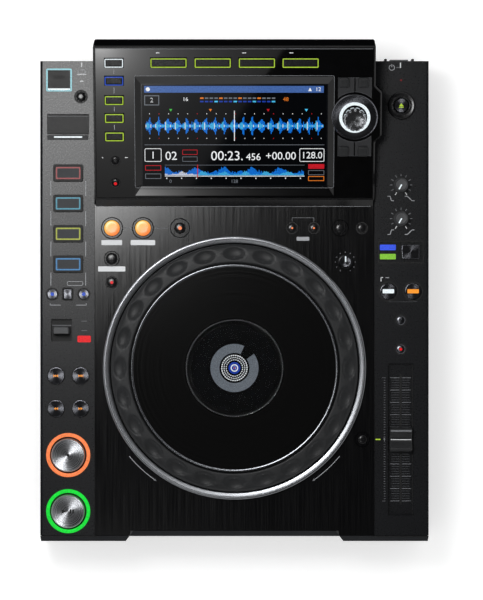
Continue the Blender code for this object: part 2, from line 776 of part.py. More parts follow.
def window(place, width, length, parent=None, thick=WALL):
    """A cutter for a square hole through a plate whose top is at the place."""
    x, y, z = place
    size = (width + 2 * GAP, length + 2 * GAP, thick + 2 * OVERRUN)
    return block("window", size, (x, y, z - thick / 2), parent=parent)


def deck_hole(place, radius, sides=SMALL_SIDES):
    return hole(case_point(place, DECK_HEIGHT), radius, sides)


def collar(place, radius, rise, sides=MEDIUM_SIDES, parent=None, level=DECK_HEIGHT):
    """A low raised ring round a key, sloped on its outside."""
    slope = rise / 2
    profile = [(0.0, rise), (radius - slope, rise), (radius, 0.0), (radius, -WALL / 2), (0.0, -WALL / 2)]
    return turned("collar", profile, case_point(place, level), parent=parent, sides=sides)


def tray(place, width, length, depth, wall, floor):
    """The body of a sunken tray, fused under a plate before it is hollowed."""
    low = DECK_HEIGHT - depth - floor
    high = DECK_HEIGHT - WELD_OVERLAP
    size = (width + 2 * wall, length + 2 * wall, high - low)
    return block("tray", size, (place[0], place[1], (low + high) / 2))


def tray_hollow(place, width, length, depth):
    size = (width, length, depth + OVERRUN)
    return block("hollow", size, (place[0], place[1], DECK_HEIGHT - depth + (depth + OVERRUN) / 2))


def well_size(width, length):
    return width + 2 * GAP, length + 2 * GAP


def hinge_line(place, length):
    """Y and Z of a lid's hinge axis."""
    return place[1] + length / 2 - LID_HINGE_INSET, DECK_HEIGHT - LID_INSET - LID_THICK / 2


def well_cuts(place, width, length, socket_width, socket_length):
    """The hollow of a well, the hole for its socket, its hinge holes and its finger notch."""
    hollow_width, hollow_length = well_size(width, length)
    hinge_y, hinge_z = hinge_line(place, length)
    hinge = (place[0], hinge_y, hinge_z)
    socket_size = (socket_width + 2 * GAP, socket_length + 2 * GAP, WELL_FLOOR + 2 * OVERRUN)
    pin_length = width + 2 * (LID_PIN_REACH + GAP)
    notch_y = place[1] - hollow_length / 2
    notch_size = (FINGER_NOTCH, 2 * FINGER_NOTCH_DEPTH, 2 * LID_THICK)
    return [
        tray_hollow(place, hollow_width, hollow_length, WELL_DEPTH),
        block("socket hole", socket_size, (place[0], place[1], DECK_HEIGHT - WELL_DEPTH)),
        rod("pin hole", LID_PIN_RADIUS + GAP, pin_length, hinge, ALONG_X, sides=PIN_SIDES),
        block("notch", notch_size, (place[0], notch_y, DECK_HEIGHT)),
    ]


def make_left_cover():
    cover = side_cover(-1, "left_side_cover")
    usb, card, lever = LEFT["usb_well"], LEFT["card_well"], LEFT["lever"]
    usb_width, usb_length = well_size(USB_LID_WIDTH, USB_LID_LENGTH)
    card_width, card_length = well_size(CARD_LID_WIDTH, CARD_LID_LENGTH)
    frame_size = (USB_FRAME_WIDTH, USB_FRAME_LENGTH, WALL)
    frame_level = DECK_HEIGHT + USB_FRAME_RISE - WALL / 2
    fuse(
        cover,
        corner_pillars(-1)
        + pegs([on_wing(-1, shares) for shares in LEFT_PEG_SHARES])
        + [
            tray(usb, usb_width, usb_length, WELL_DEPTH, WELL_WALL, WELL_FLOOR),
            tray(card, card_width, card_length, WELL_DEPTH, WELL_WALL, WELL_FLOOR),
            tray(lever, LEVER_TRAY_WIDTH, LEVER_TRAY_LENGTH, LEVER_TRAY_DEPTH, WELL_WALL, LEVER_TRAY_FLOOR),
            block("usb frame", frame_size, (usb[0], usb[1], frame_level)),
        ],
    )
    cuts = well_cuts(usb, USB_LID_WIDTH, USB_LID_LENGTH, USB_SOCKET_WIDTH, USB_SOCKET_LENGTH)
    cuts += well_cuts(card, CARD_LID_WIDTH, CARD_LID_LENGTH, CARD_SOCKET_WIDTH, CARD_SOCKET_LENGTH)
    cuts.append(tray_hollow(lever, LEVER_TRAY_WIDTH, LEVER_TRAY_LENGTH, LEVER_TRAY_DEPTH))
    stem_sweep = (LEVER_PIVOT_LEVEL - LEVER_TRAY_DEPTH) * math.sin(LEVER_SWING)
    stem_size = (
        LEVER_STEM_WIDTH + 2 * GAP,
        LEVER_STEM_LENGTH + 2 * (stem_sweep + GAP),
        LEVER_TRAY_FLOOR + 2 * OVERRUN,
    )
    cuts.append(block("stem slot", stem_size, (lever[0], lever[1], DECK_HEIGHT - LEVER_TRAY_DEPTH)))
    for name in ("usb_stop", "bank_left", "bank_right"):
        cuts.append(deck_hole(LEFT[name], SMALL_KEY_RADIUS))
    for name in ("track_back", "track_next", "search_back", "search_next"):
        cuts.append(deck_hole(LEFT[name], SEARCH_KEY_RADIUS, MEDIUM_SIDES))
    for name in ("cue", "play"):
        cuts.append(deck_hole(LEFT[name], LIGHT_OUTER, LARGE_SIDES))
    for name in ("pad_a", "pad_b", "pad_c", "pad_d"):
        cuts.append(window(case_point(LEFT[name], DECK_HEIGHT), PAD_WIDTH, PAD_LENGTH))
    middle = case_point(LEFT["bank_middle"], DECK_HEIGHT)
    cuts.append(window(middle, BANK_KEY_WIDTH, BANK_KEY_LENGTH))
    cut(cover, cuts)
    return paint(cover, (0.035, 0.036, 0.04), 0.45)


def make_right_cover():
    cover = side_cover(1, "right_side_cover")
    fader, eject = RIGHT["fader"], RIGHT["eject"]
    fuse(
        cover,
        corner_pillars(1)
        + pegs([on_wing(1, shares) for shares in RIGHT_PEG_SHARES])
        + [
            tray(
                fader,
                FADER_TRAY_WIDTH,
                FADER_TRAY_LENGTH,
                FADER_TRAY_DEPTH,
                FADER_TRAY_WALL,
                FADER_TRAY_WALL,
            ),
            collar(eject, EJECT_COLLAR_RADIUS, EJECT_COLLAR_RISE, LARGE_SIDES),
        ],
    )
    slot_length = FADER_TRAVEL + FADER_STEM_LENGTH + 2 * GAP
    slot_size = (FADER_SLOT_WIDTH, slot_length, FADER_TRAY_WALL + 2 * OVERRUN)
    cuts = [
        tray_hollow(fader, FADER_TRAY_WIDTH, FADER_TRAY_LENGTH, FADER_TRAY_DEPTH),
        block("fader slot", slot_size, (fader[0], fader[1], DECK_HEIGHT - FADER_TRAY_DEPTH)),
        hole(
            case_point(eject, DECK_HEIGHT + EJECT_COLLAR_RISE),
            EJECT_KEY_RADIUS,
            MEDIUM_SIDES,
            thick=2 * WALL + EJECT_COLLAR_RISE,
        ),
        deck_hole(RIGHT["brake"], KNOB_SHAFT_RADIUS),
        deck_hole(RIGHT["release"], KNOB_SHAFT_RADIUS),
        deck_hole(RIGHT["sync"], SYNC_KEY_RADIUS, MEDIUM_SIDES),
        deck_hole(RIGHT["master"], SYNC_KEY_RADIUS, MEDIUM_SIDES),
        deck_hole(RIGHT["tempo_range"], SMALL_KEY_RADIUS),
        deck_hole(RIGHT["master_tempo"], SMALL_KEY_RADIUS),
        tray_hollow(RIGHT["jog_mode_tray"], JOG_MODE_TRAY_WIDTH, JOG_MODE_TRAY_LENGTH, JOG_MODE_TRAY_DEPTH),
        window(case_point(RIGHT["jog_mode"], DECK_HEIGHT), JOG_MODE_WIDTH, JOG_MODE_LENGTH),
    ]
    cut(cover, cuts)
    return paint(cover, (0.035, 0.036, 0.04), 0.45)


def make_deck():
    """The centre plate, from the front recess to the rear panel, open under the display."""
    front = FACE_Y + GAP
    half = SEAM_X - GAP / 2
    deck = block_between(
        "deck_panel", (-half, front, PLATE_UNDERSIDE), (half, WING_REAR_Y, DECK_HEIGHT)
    )
    fuse(
        deck,
        pegs([on_deck(shares) for shares in DECK_PEG_SHARES])
        + [
            collar(DECK["loop_in"], LOOP_COLLAR_RADIUS, COLLAR_RISE),
            collar(DECK["loop_out"], LOOP_COLLAR_RADIUS, COLLAR_RISE),
            collar(DECK["reloop"], RELOOP_COLLAR_RADIUS, COLLAR_RISE),
            collar(DECK["beat"], BEAT_COLLAR_RADIUS, COLLAR_RISE),
            collar(DECK["delete"], DELETE_COLLAR_RADIUS, COLLAR_RISE),
            collar(DECK["tempo_reset"], RESET_COLLAR_RADIUS, COLLAR_RISE),
        ],
    )
    notch_half = RECESS_WIDTH / 2 + GAP
    opening_half = HOUSING_WIDTH / 2 - 2 * WALL
    cuts = [
        block_between(
            "front notch",
            (-notch_half, front - OVERRUN, PLATE_UNDERSIDE - OVERRUN),
            (notch_half, FACE_Y + RECESS_DEPTH + GAP, DECK_HEIGHT + OVERRUN),
        ),
        block_between(
            "display opening",
            (-opening_half, LIP_Y + WALL, PLATE_UNDERSIDE - OVERRUN),
            (opening_half, WING_REAR_Y - WING_SETBACK, DECK_HEIGHT + OVERRUN),
        ),
        deck_hole(JOG, TRIM_INNER - GAP, JOG_SIDES),
        deck_hole(DECK["loop_in"], LOOP_KEY_RADIUS, MEDIUM_SIDES),
        deck_hole(DECK["loop_out"], LOOP_KEY_RADIUS, MEDIUM_SIDES),
        deck_hole(DECK["reloop"], RELOOP_KEY_RADIUS),
        deck_hole(DECK["beat"], BEAT_KEY_RADIUS),
        deck_hole(DECK["slip"], SLIP_KEY_RADIUS),
        deck_hole(DECK["call_left"], SMALL_KEY_RADIUS),
        deck_hole(DECK["call_right"], SMALL_KEY_RADIUS),
        deck_hole(DECK["delete"], DELETE_KEY_RADIUS),
        deck_hole(DECK["memory"], SMALL_KEY_RADIUS),
        deck_hole(DECK["jog_adjust"], KNOB_SHAFT_RADIUS),
        deck_hole(DECK["tempo_reset"], RESET_KEY_RADIUS),
    ]
    cut(deck, cuts)
    return paint(deck, (0.012, 0.012, 0.014), 0.22)


def make_front_panel():
    """The fascia: sloped at its top, set back in the middle, with the disc slot through it."""
    slope_foot = DECK_HEIGHT - FRONT_SLOPE_DROP
    under = PLATE_UNDERSIDE - GAP
    outline = [
        (FRONT_Y, BASE_LEVEL),
        (FRONT_Y + FRONT_THICK, BASE_LEVEL),
        (FRONT_Y + FRONT_THICK, under),
        (FACE_Y, under),
        (FACE_Y, DECK_HEIGHT),
        (FRONT_Y, slope_foot),
    ]
    panel = slab("front_panel", outline, CASE_WIDTH, turn=ALONG_X)
    rear = FACE_Y + RECESS_DEPTH
    half = RECESS_WIDTH / 2
    low = (-half + GAP, FACE_Y - WELD_OVERLAP, under - WELD_OVERLAP)
    fuse(panel, [block_between("recess back", low, (half - GAP, rear, DECK_HEIGHT))])
    wide = half + RECESS_FLARE
    set_back = [
        (FRONT_Y - OVERRUN, BASE_LEVEL - OVERRUN),
        (rear - FRONT_SLOPE_RUN, BASE_LEVEL - OVERRUN),
        (rear - FRONT_SLOPE_RUN, slope_foot),
        (rear, DECK_HEIGHT),
        (rear, DECK_HEIGHT + OVERRUN),
        (FRONT_Y - OVERRUN, DECK_HEIGHT + OVERRUN),
    ]
    plan = [
        (-wide, FRONT_Y - OVERRUN),
        (wide, FRONT_Y - OVERRUN),
        (wide, FRONT_Y),
        (half - RECESS_FLARE, rear + OVERRUN),
        (-half + RECESS_FLARE, rear + OVERRUN),
        (-wide, FRONT_Y),
    ]
    mouth = slab("mouth", set_back, 2 * (wide + OVERRUN), turn=ALONG_X)
    combine(mouth, [slab("plan", plan, 3 * DECK_HEIGHT)], "INTERSECT")
    side_hollow = hollow_outline(FRONT_Y + FRONT_WALL)
    centre_hollow = hollow_outline(FRONT_Y + RECESS_DEPTH + FRONT_WALL)
    side_inner = wide + FRONT_WALL
    side_width = HALF_WIDTH + OVERRUN - side_inner
    side_middle = side_inner + side_width / 2
    cuts = [
        slab("side hollow", side_hollow, side_width, (-side_middle, 0.0, 0.0), ALONG_X),
        slab("side hollow", side_hollow, side_width, (side_middle, 0.0, 0.0), ALONG_X),
        slab("centre hollow", centre_hollow, 2 * (half - FRONT_WALL), turn=ALONG_X),
    ]
    cut(panel, [mouth])
    cut(panel, cuts)
    face = rear - FRONT_SLOPE_RUN
    lip = SLOT_HEIGHT / 2 + SLOT_LIP
    lips = [
        (face - SLOT_LIP, SLOT_LEVEL - lip - SLOT_LIP),
        (face + SLOT_LIP, SLOT_LEVEL - SLOT_HEIGHT / 2 + SLOT_LIP / 4),
        (face + SLOT_LIP, SLOT_LEVEL + SLOT_HEIGHT / 2 - SLOT_LIP / 4),
        (face - SLOT_LIP, SLOT_LEVEL + lip + SLOT_LIP),
    ]
    slot_size = (SLOT_WIDTH, 2 * FRONT_THICK, SLOT_HEIGHT)
    cut(
        panel,
        [block("slot", slot_size, (0.0, face, SLOT_LEVEL)), slab("lips", lips, SLOT_WIDTH, turn=ALONG_X)],
    )
    return paint(panel, (0.02, 0.02, 0.022), 0.35)


def hollow_outline(front):
    """The hollow behind the fascia's wall: upright at first, then along its slope."""
    rear = FRONT_Y + FRONT_THICK + OVERRUN
    slope_foot = DECK_HEIGHT - FRONT_SLOPE_DROP
    run = FRONT_SLOPE_RUN - FRONT_WALL
    return [
        (front, BASE_LEVEL - OVERRUN),
        (rear, BASE_LEVEL - OVERRUN),
        (rear, PLATE_UNDERSIDE),
        (front + run, PLATE_UNDERSIDE),
        (front, slope_foot),
    ]


def make_base():
    """The steel bottom plate with its vents, its four moulded feet and its screws."""
    front = FRONT_Y + FRONT_THICK + GAP
    rear = WING_REAR_Y - WALL - GAP
    base = block_between("base_plate", (-INNER_X, front, BASE_LEVEL), (INNER_X, rear, BASE_TOP))
    joined = []
    foot_height = BASE_LEVEL + BASE_THICK / 2
    foot = [
        (0.0, foot_height),
        (FOOT_RADIUS, foot_height),
        (FOOT_RADIUS, FOOT_TAPER),
        (FOOT_RADIUS - FOOT_TAPER, 0.0),
        (0.0, 0.0),
    ]
    for x in (-HALF_WIDTH + FOOT_SIDE_INSET, HALF_WIDTH - FOOT_SIDE_INSET):
        for y in (FRONT_Y + FOOT_FRONT_INSET, REAR_Y - FOOT_REAR_INSET):
            joined.append(turned("foot", foot, (x, y, 0.0), sides=MEDIUM_SIDES))
    screw_height = SCREW_HEAD_THICK + BASE_THICK / 2
    screw_level = BASE_LEVEL - SCREW_HEAD_THICK + screw_height / 2
    for x in (-HALF_WIDTH + PILLAR_SIDE_INSET, HALF_WIDTH - PILLAR_SIDE_INSET):
        for y in pillar_lines():
            joined.append(
                rod("screw", SCREW_HEAD_RADIUS, screw_height, (x, y, screw_level), sides=PIN_SIDES)
            )
    for x, y in board_posts():
        height = BOARD_STANDOFF - GAP + BASE_THICK / 2
        level = BASE_TOP + BOARD_STANDOFF - GAP - height / 2
        joined.append(rod("standoff", STANDOFF_RADIUS, height, (x, y, level), sides=PIN_SIDES))
    fuse(base, joined)
    vents = []
    for side in (-1, 1):
        for i in range(VENT_COUNT):
            y = (i - (VENT_COUNT - 1) / 2) * VENT_PITCH
            size = (VENT_LENGTH, VENT_WIDTH, BASE_THICK + 2 * OVERRUN)
            x = side * (HALF_WIDTH - FOOT_SIDE_INSET - VENT_LENGTH / 2)
            vents.append(block("vent", size, (x, y, BASE_LEVEL + BASE_THICK / 2)))
    cut(base, vents)
    return paint(base, (0.05, 0.05, 0.055), 0.4, 0.6)


def panel_outline(margin):
    """The outline of the display panel in its own plane, with the ear beside the selector."""
    half = HOUSING_WIDTH / 2 - margin
    corner = margin * (math.sqrt(2) - 1)
    ear_front = EAR_SPAN_SHARES[0] * SLOPE_LENGTH + corner
    ear_rear = EAR_SPAN_SHARES[1] * SLOPE_LENGTH - corner
    return [
        (-half, margin),
        (half, margin),
        (half, ear_front),
        (half + EAR_REACH, ear_front + EAR_REACH),
        (half + EAR_REACH, ear_rear - EAR_REACH),
        (half, ear_rear),
        (half, SLOPE_LENGTH - margin),
        (-half, SLOPE_LENGTH - margin),
    ]


def make_display_housing(plane):
    """The raised wedge that holds the display: a shell open underneath."""
    outline = [
        (HOUSING_FRONT_Y, HOUSING_BOTTOM),
        (WING_REAR_Y, HOUSING_BOTTOM),
        (REAR_Y + HOUSING_ROUND / 4, CASE_HEIGHT - HOUSING_REAR_DROP),
        (RIDGE_Y, CASE_HEIGHT + HOUSING_ROUND / 4),
        (LIP_Y, LIP_Z),
    ]
    width = HOUSING_WIDTH + EAR_REACH
    housing = slab("display_housing", outline, width, (EAR_REACH / 2, 0.0, 0.0), ALONG_X)
    half = HOUSING_WIDTH / 2
    ear_front, ear_rear = (share * SLOPE_LENGTH for share in EAR_SPAN_SHARES)
    outer = half + EAR_REACH + OVERRUN
    depth = 2 * CASE_HEIGHT
    before = [
        (half, -depth),
        (outer, -depth),
        (outer, ear_front + EAR_REACH + OVERRUN),
        (half, ear_front),
    ]
    after = [
        (half, ear_rear),
        (outer, ear_rear - EAR_REACH - OVERRUN),
        (outer, SLOPE_LENGTH + depth),
        (half, SLOPE_LENGTH + depth),
    ]
    under = block_between(
        "under ear", (half, -depth, -depth), (outer, SLOPE_LENGTH + depth, -EAR_DEPTH), plane
    )
    cut(
        housing,
        [slab("before ear", before, depth, parent=plane), slab("after ear", after, depth, parent=plane)],
    )
    cut(housing, [under])
    rounded(housing, HOUSING_ROUND)
    top_wall = PANEL_THICK + GAP + WALL
    hollow = inset_outline(outline, [-OVERRUN, WALL, WALL, top_wall, WALL])
    pocket_depth = PANEL_THICK + GAP
    pocket = slab(
        "pocket",
        panel_outline(PANEL_MARGIN - GAP),
        pocket_depth + OVERRUN,
        (0.0, 0.0, (OVERRUN - pocket_depth) / 2),
        parent=plane,
    )
    ledge = PANEL_MARGIN + PANEL_LEDGE
    opening = block_between(
        "opening",
        (-half + ledge, ledge, -top_wall - OVERRUN),
        (half - ledge, SLOPE_LENGTH - ledge, OVERRUN),
        plane,
    )
    cut(housing, [slab("hollow", hollow, HOUSING_WIDTH - 2 * WALL, turn=ALONG_X), pocket, opening])
    return paint(housing, (0.05, 0.05, 0.052), 0.4)


def panel_point(name, level=0.0):
    x, y = PANEL[name]
    return (x, y, level)


def make_display_panel(plane):
    """The gloss front of the display, with bevels round the screen and the selector's plinth."""
    panel = slab(
        "display_panel",
        panel_outline(PANEL_MARGIN),
        PANEL_THICK,
        (0.0, 0.0, -PANEL_THICK / 2),
        parent=plane,
    )
    plinth = [
        (0.0, SELECTOR_RING_RISE),
        (SELECTOR_RING_RADIUS, SELECTOR_RING_RISE),
        (SELECTOR_RING_RADIUS, SELECTOR_PLINTH_RISE),
        (SELECTOR_PLINTH_RADIUS - SELECTOR_PLINTH_RISE, SELECTOR_PLINTH_RISE),
        (SELECTOR_PLINTH_RADIUS, 0.0),
        (SELECTOR_PLINTH_RADIUS, -PANEL_THICK / 2),
        (0.0, -PANEL_THICK / 2),
    ]
    joined = [turned("plinth", plinth, panel_point("selector"), parent=plane, sides=LARGE_SIDES)]
    post_length = PANEL_BOARD_DROP - GAP - PANEL_THICK / 2
    for shares in PANEL_POST_SHARES:
        x, y = on_panel(shares)
        level = -PANEL_THICK / 2 - post_length / 2
        joined.append(
            rod("post", PANEL_POST_RADIUS, post_length, (x, y, level), parent=plane, sides=PIN_SIDES)
        )
    fuse(panel, joined)
    centre = SCREEN_CENTRE_SHARE * SLOPE_LENGTH
    shift = (SCREEN_BEVEL_REAR - SCREEN_BEVEL_FRONT) / 2
    reach = OVERRUN + PANEL_THICK
    bevel = slab(
        "screen bevel",
        [(-SCREEN_WIDTH / 2, -SCREEN_LENGTH / 2), (SCREEN_WIDTH / 2, -SCREEN_LENGTH / 2),
         (SCREEN_WIDTH / 2, SCREEN_LENGTH / 2), (-SCREEN_WIDTH / 2, SCREEN_LENGTH / 2)],
        reach,
        (0.0, centre, OVERRUN - reach / 2),
        parent=plane,
    )
    wide = (SCREEN_WIDTH + 2 * SCREEN_BEVEL_SIDE) / SCREEN_WIDTH
    deep = (SCREEN_LENGTH + SCREEN_BEVEL_FRONT + SCREEN_BEVEL_REAR) / SCREEN_LENGTH
    spread = reach / PANEL_THICK
    for corner in bevel.data.vertices:
        if corner.co.z > 0.0:
            corner.co.x *= 1 + (wide - 1) * spread
            corner.co.y = corner.co.y * (1 + (deep - 1) * spread) + shift * spread
    glass_size = (SCREEN_WIDTH, SCREEN_LENGTH, 2 * PANEL_THICK)
    glass = block("glass", glass_size, (0.0, centre, -PANEL_THICK), parent=plane)
    shaft_thick = PANEL_THICK + SELECTOR_RING_RISE
    shaft_place = panel_point("selector", SELECTOR_RING_RISE)
    shaft = hole(shaft_place, KNOB_SHAFT_RADIUS, SMALL_SIDES, plane, shaft_thick)
    cuts = [bevel, glass, shaft]
    for name in SOURCE_KEYS:
        cuts.append(window(panel_point(name), SOURCE_KEY_WIDTH, SOURCE_KEY_LENGTH, plane, PANEL_THICK))
    for name in MENU_KEYS:
        cuts.append(window(panel_point(name), MENU_KEY_WIDTH, MENU_KEY_LENGTH, plane, PANEL_THICK))
    for name in SELECTOR_KEYS:
        cuts.append(window(panel_point(name), SELECTOR_KEY_SIZE, SELECTOR_KEY_SIZE, plane, PANEL_THICK))
    for name in MODE_KEYS:
        cuts.append(hole(panel_point(name), SMALL_KEY_RADIUS, parent=plane, thick=PANEL_THICK))
    cut(panel, cuts)
    return paint(panel, (0.006, 0.006, 0.007), 0.08)


def make_touch_screen(plane):
    size = (SCREEN_WIDTH + 2 * SCREEN_BORDER, SCREEN_LENGTH + 2 * SCREEN_BORDER, SCREEN_THICK)
    place = (0.0, SCREEN_CENTRE_SHARE * SLOPE_LENGTH, -PANEL_THICK - GAP - SCREEN_THICK / 2)
    return paint(block("touch_screen", size, place, parent=plane), (0.02, 0.05, 0.12), 0.15)


def make_display_board(plane):
    """The board behind the display panel, with a switch under each key."""
    half = HOUSING_WIDTH / 2 - WALL - DISPLAY_BOARD_BORDER + OVERRUN
    low = -PANEL_BOARD_DROP - BOARD_THICK
    board = block_between(
        "display_key_board",
        (-half, DISPLAY_BOARD_BORDER, low),
        (half, SLOPE_LENGTH - PANEL_MARGIN - DISPLAY_BOARD_BORDER, -PANEL_BOARD_DROP),
        plane,
    )
    height = SWITCH_HEIGHT + BOARD_THICK / 2
    level = -PANEL_SWITCH_DROP - height / 2
    switches = [
        block("switch", (SWITCH_WIDTH, SWITCH_WIDTH, height), panel_point(name, level), parent=plane)
        for name in PANEL
    ]
    fuse(board, switches)
    return paint(board, (0.02, 0.16, 0.07), 0.5)


def jog_levels():
    """The levels of the jog wheel's plate: its seat, underside and top."""
    seat = DECK_HEIGHT + JOG_RISE - PLATE_THICK
    return seat, seat + GAP, seat + GAP + PLATE_THICK


def make_jog_post():
    """The dish under the jog wheel and the post in its middle."""
    rim = PLATE_UNDERSIDE - GAP
    low = rim - DISH_DEPTH
    floor = low + DISH_THICK
    top = jog_levels()[1] - JOG_DISPLAY_CLEAR - JOG_DISPLAY_THICK - GAP
    outer = DISH_RADIUS + DISH_THICK
    profile = [
        (0.0, top),
        (POST_RADIUS, top),
        (POST_RADIUS, floor),
        (DISH_RADIUS, floor),
        (DISH_RADIUS, rim),
        (DISH_RIM, rim),
        (DISH_RIM, rim - DISH_THICK),
        (outer, rim - DISH_THICK),
        (outer, low),
        (0.0, low),
    ]
    post = turned("jog_pivot_post", profile, case_point(JOG, 0.0), sides=PLATE_SIDES)
    return paint(post, (0.03, 0.03, 0.03), 0.5)


def make_jog_display():
    high = jog_levels()[1] - JOG_DISPLAY_CLEAR
    place = case_point(JOG, high - JOG_DISPLAY_THICK / 2)
    display = rod("jog_display", JOG_DISPLAY_RADIUS, JOG_DISPLAY_THICK, place, sides=LARGE_SIDES)
    return paint(display, (0.01, 0.01, 0.012), 0.2)


def make_trim_ring():
    ring = [
        (TRIM_INNER, TRIM_RISE * TRIM_INNER_SHARE),
        (TRIM_INNER + TRIM_RISE / 3, TRIM_RISE),
        ((TRIM_INNER + TRIM_OUTER) / 2, TRIM_RISE),
        (TRIM_OUTER - TRIM_RISE / 6, TRIM_RISE / 2),
        (TRIM_OUTER, 0.0),
        (TRIM_INNER, 0.0),
    ]
    trim = turned("jog_trim_ring", ring, case_point(JOG, DECK_HEIGHT + GAP), sides=JOG_SIDES)
    return paint(trim, (0.62, 0.63, 0.65), 0.25, 1.0)


def make_jog_dial():
    """The dial: a hub web, a rounded grip with a finger dimple every fifteen degrees."""
    seat = jog_levels()[0] - DECK_HEIGHT
    crest = PLATE_RADIUS + GAP + JOG_CREST_WIDTH
    drop = JOG_RISE - JOG_SHOULDER_RISE
    arc = []
    for i in range(JOG_CURVE_STEPS + 1):
        angle = QUARTER_TURN * i / JOG_CURVE_STEPS
        radius = crest + (JOG_RADIUS - crest) * math.sin(angle)
        arc.append((radius, JOG_SHOULDER_RISE + drop * math.cos(angle)))
    inner = PLATE_RADIUS + GAP
    web = JOG_WEB_THICK - JOG_SKIRT
    profile = [
        (inner, JOG_RISE),
        *arc,
        (JOG_RADIUS, -JOG_SKIRT),
        (POST_RADIUS + GAP, -JOG_SKIRT),
        (POST_RADIUS + GAP, web),
        (inner - JOG_SEAT_WIDTH, web),
        (inner - JOG_SEAT_WIDTH, seat),
        (inner, seat),
    ]
    dial = turned("jog_dial", profile, case_point(JOG, DECK_HEIGHT), sides=JOG_SIDES)
    middle = (JOG_GRIP_INNER + JOG_RADIUS) / 2
    lean = math.asin((middle - crest) / (JOG_RADIUS - crest))
    level = DECK_HEIGHT + JOG_SHOULDER_RISE + drop * math.cos(lean)
    slope = math.atan(drop / (JOG_RADIUS - crest) * math.tan(lean))
    dimples = []
    for i in range(DIMPLE_COUNT):
        angle = math.tau * (i + 1 / 2) / DIMPLE_COUNT
        shape = bmesh.new()
        ball = bmesh.ops.create_uvsphere(
            shape, u_segments=DIMPLE_SIDES, v_segments=DIMPLE_RINGS, radius=1.0
        )
        corners = ball["verts"]
        bmesh.ops.scale(shape, vec=(DIMPLE_WIDTH / 2, DIMPLE_LENGTH / 2, DIMPLE_DEPTH), verts=corners)
        mesh = bpy.data.meshes.new("dimple")
        shape.to_mesh(mesh)
        shape.free()
        place = (JOG[0] + middle * math.cos(angle), JOG[1] + middle * math.sin(angle), level)
        dimples.append(new_piece("dimple", mesh, place, (0.0, slope, angle)))
    cut(dial, dimples)
    return paint(dial, (0.03, 0.03, 0.032), 0.45)


def make_jog_plate():
    low, high = jog_levels()[1:]
    ledge = high - WINDOW_THICK - GAP
    profile = [
        (WINDOW_RADIUS + GAP, high),
        (PLATE_RADIUS - PLATE_THICK / 2, high),
        (PLATE_RADIUS, high - PLATE_THICK / 2),
        (PLATE_RADIUS, low),
        (WINDOW_RADIUS - WINDOW_LEDGE, low),
        (WINDOW_RADIUS - WINDOW_LEDGE, ledge),
        (WINDOW_RADIUS + GAP, ledge),
    ]
    plate = turned("jog_plate", profile, case_point(JOG, 0.0), sides=PLATE_SIDES)
    return paint(plate, (0.008, 0.008, 0.009), 0.15)


def make_jog_window():
    place = case_point(JOG, jog_levels()[2] - WINDOW_THICK / 2)
    pane = rod("jog_window", WINDOW_RADIUS, WINDOW_THICK, place, sides=PLATE_SIDES)
    return paint(pane, (0.9, 0.92, 0.95), 0.05, alpha=0.35)


def round_key(name, place, radius, proud=KEY_PROUD, thick=WALL, parent=None, sides=SMALL_SIDES):
    """A round button: a cap with a bevelled edge, on a flange that stays under the plate."""
    shelf = -thick - GAP
    profile = [
        (0.0, proud),
        (radius - KEY_CHAMFER, proud),
        (radius, proud - KEY_CHAMFER),
        (radius, shelf),
        (radius + KEY_RIM, shelf),
        (radius + KEY_RIM, shelf - KEY_FLANGE),
        (0.0, shelf - KEY_FLANGE),
    ]
    return turned(name, profile, place, parent=parent, sides=sides)


def square_key(name, place, width, length, proud=KEY_PROUD, thick=WALL, parent=None):
    """A square button: a bevelled cap on a flange that stays under the plate."""
    x, y, z = place
    shelf = -thick - GAP
    low = shelf - KEY_CHAMFER - GAP
    size = (width, length, proud - low)
    cap = block(name, size, (x, y, z + (proud + low) / 2), parent=parent)
    rounded(cap, KEY_CHAMFER)
    flange_size = (width + 2 * KEY_RIM, length + 2 * KEY_RIM, KEY_FLANGE)
    flange = block("flange", flange_size, (x, y, z + shelf - KEY_FLANGE / 2), parent=parent)
    return fuse(cap, [flange])


def strip(first, second, level, parent=None):
    """A flat strip between two places, at the height of the keys' flanges."""
    x1, y1 = first
    x2, y2 = second
    size = (math.hypot(x2 - x1, y2 - y1), STRIP_WIDTH, KEY_FLANGE / 2)
    angle = math.atan2(y2 - y1, x2 - x1)
    place = ((x1 + x2) / 2, (y1 + y2) / 2, level)
    return block("strip", size, place, (0.0, 0.0, angle), parent)


def moulded(keys, places, thick=WALL, level=DECK_HEIGHT, parent=None):
    """Keys that come as one moulding: a strip runs from each place to the next."""
    height = level - thick - GAP - KEY_FLANGE / 2
    strips = [strip(first, second, height, parent) for first, second in zip(places, places[1:])]
    return fuse(keys[0], keys[1:] + strips)


def make_left_keys():
    cap = (0.05, 0.05, 0.055)
    for name in ("pad_a", "pad_b", "pad_c", "pad_d"):
        pad = square_key("hot_cue_" + name, case_point(LEFT[name], DECK_HEIGHT), PAD_WIDTH, PAD_LENGTH)
        paint(pad, (0.1, 0.1, 0.11), 0.5)
    paint(round_key("usb_stop_key", case_point(LEFT["usb_stop"], DECK_HEIGHT), SMALL_KEY_RADIUS), cap, 0.5)
    banks = [
        round_key("bank_keys", case_point(LEFT["bank_left"], DECK_HEIGHT), SMALL_KEY_RADIUS),
        square_key("bank", case_point(LEFT["bank_middle"], DECK_HEIGHT), BANK_KEY_WIDTH, BANK_KEY_LENGTH),
        round_key("bank", case_point(LEFT["bank_right"], DECK_HEIGHT), SMALL_KEY_RADIUS),
    ]
    paint(moulded(banks, [LEFT["bank_left"], LEFT["bank_right"]]), cap, 0.5)
    names = ("track_back", "track_next", "search_next", "search_back")
    search = [
        round_key("search_keys", case_point(LEFT[name], DECK_HEIGHT), SEARCH_KEY_RADIUS, sides=MEDIUM_SIDES)
        for name in names
    ]
    paint(moulded(search, [LEFT[name] for name in names]), cap, 0.5)


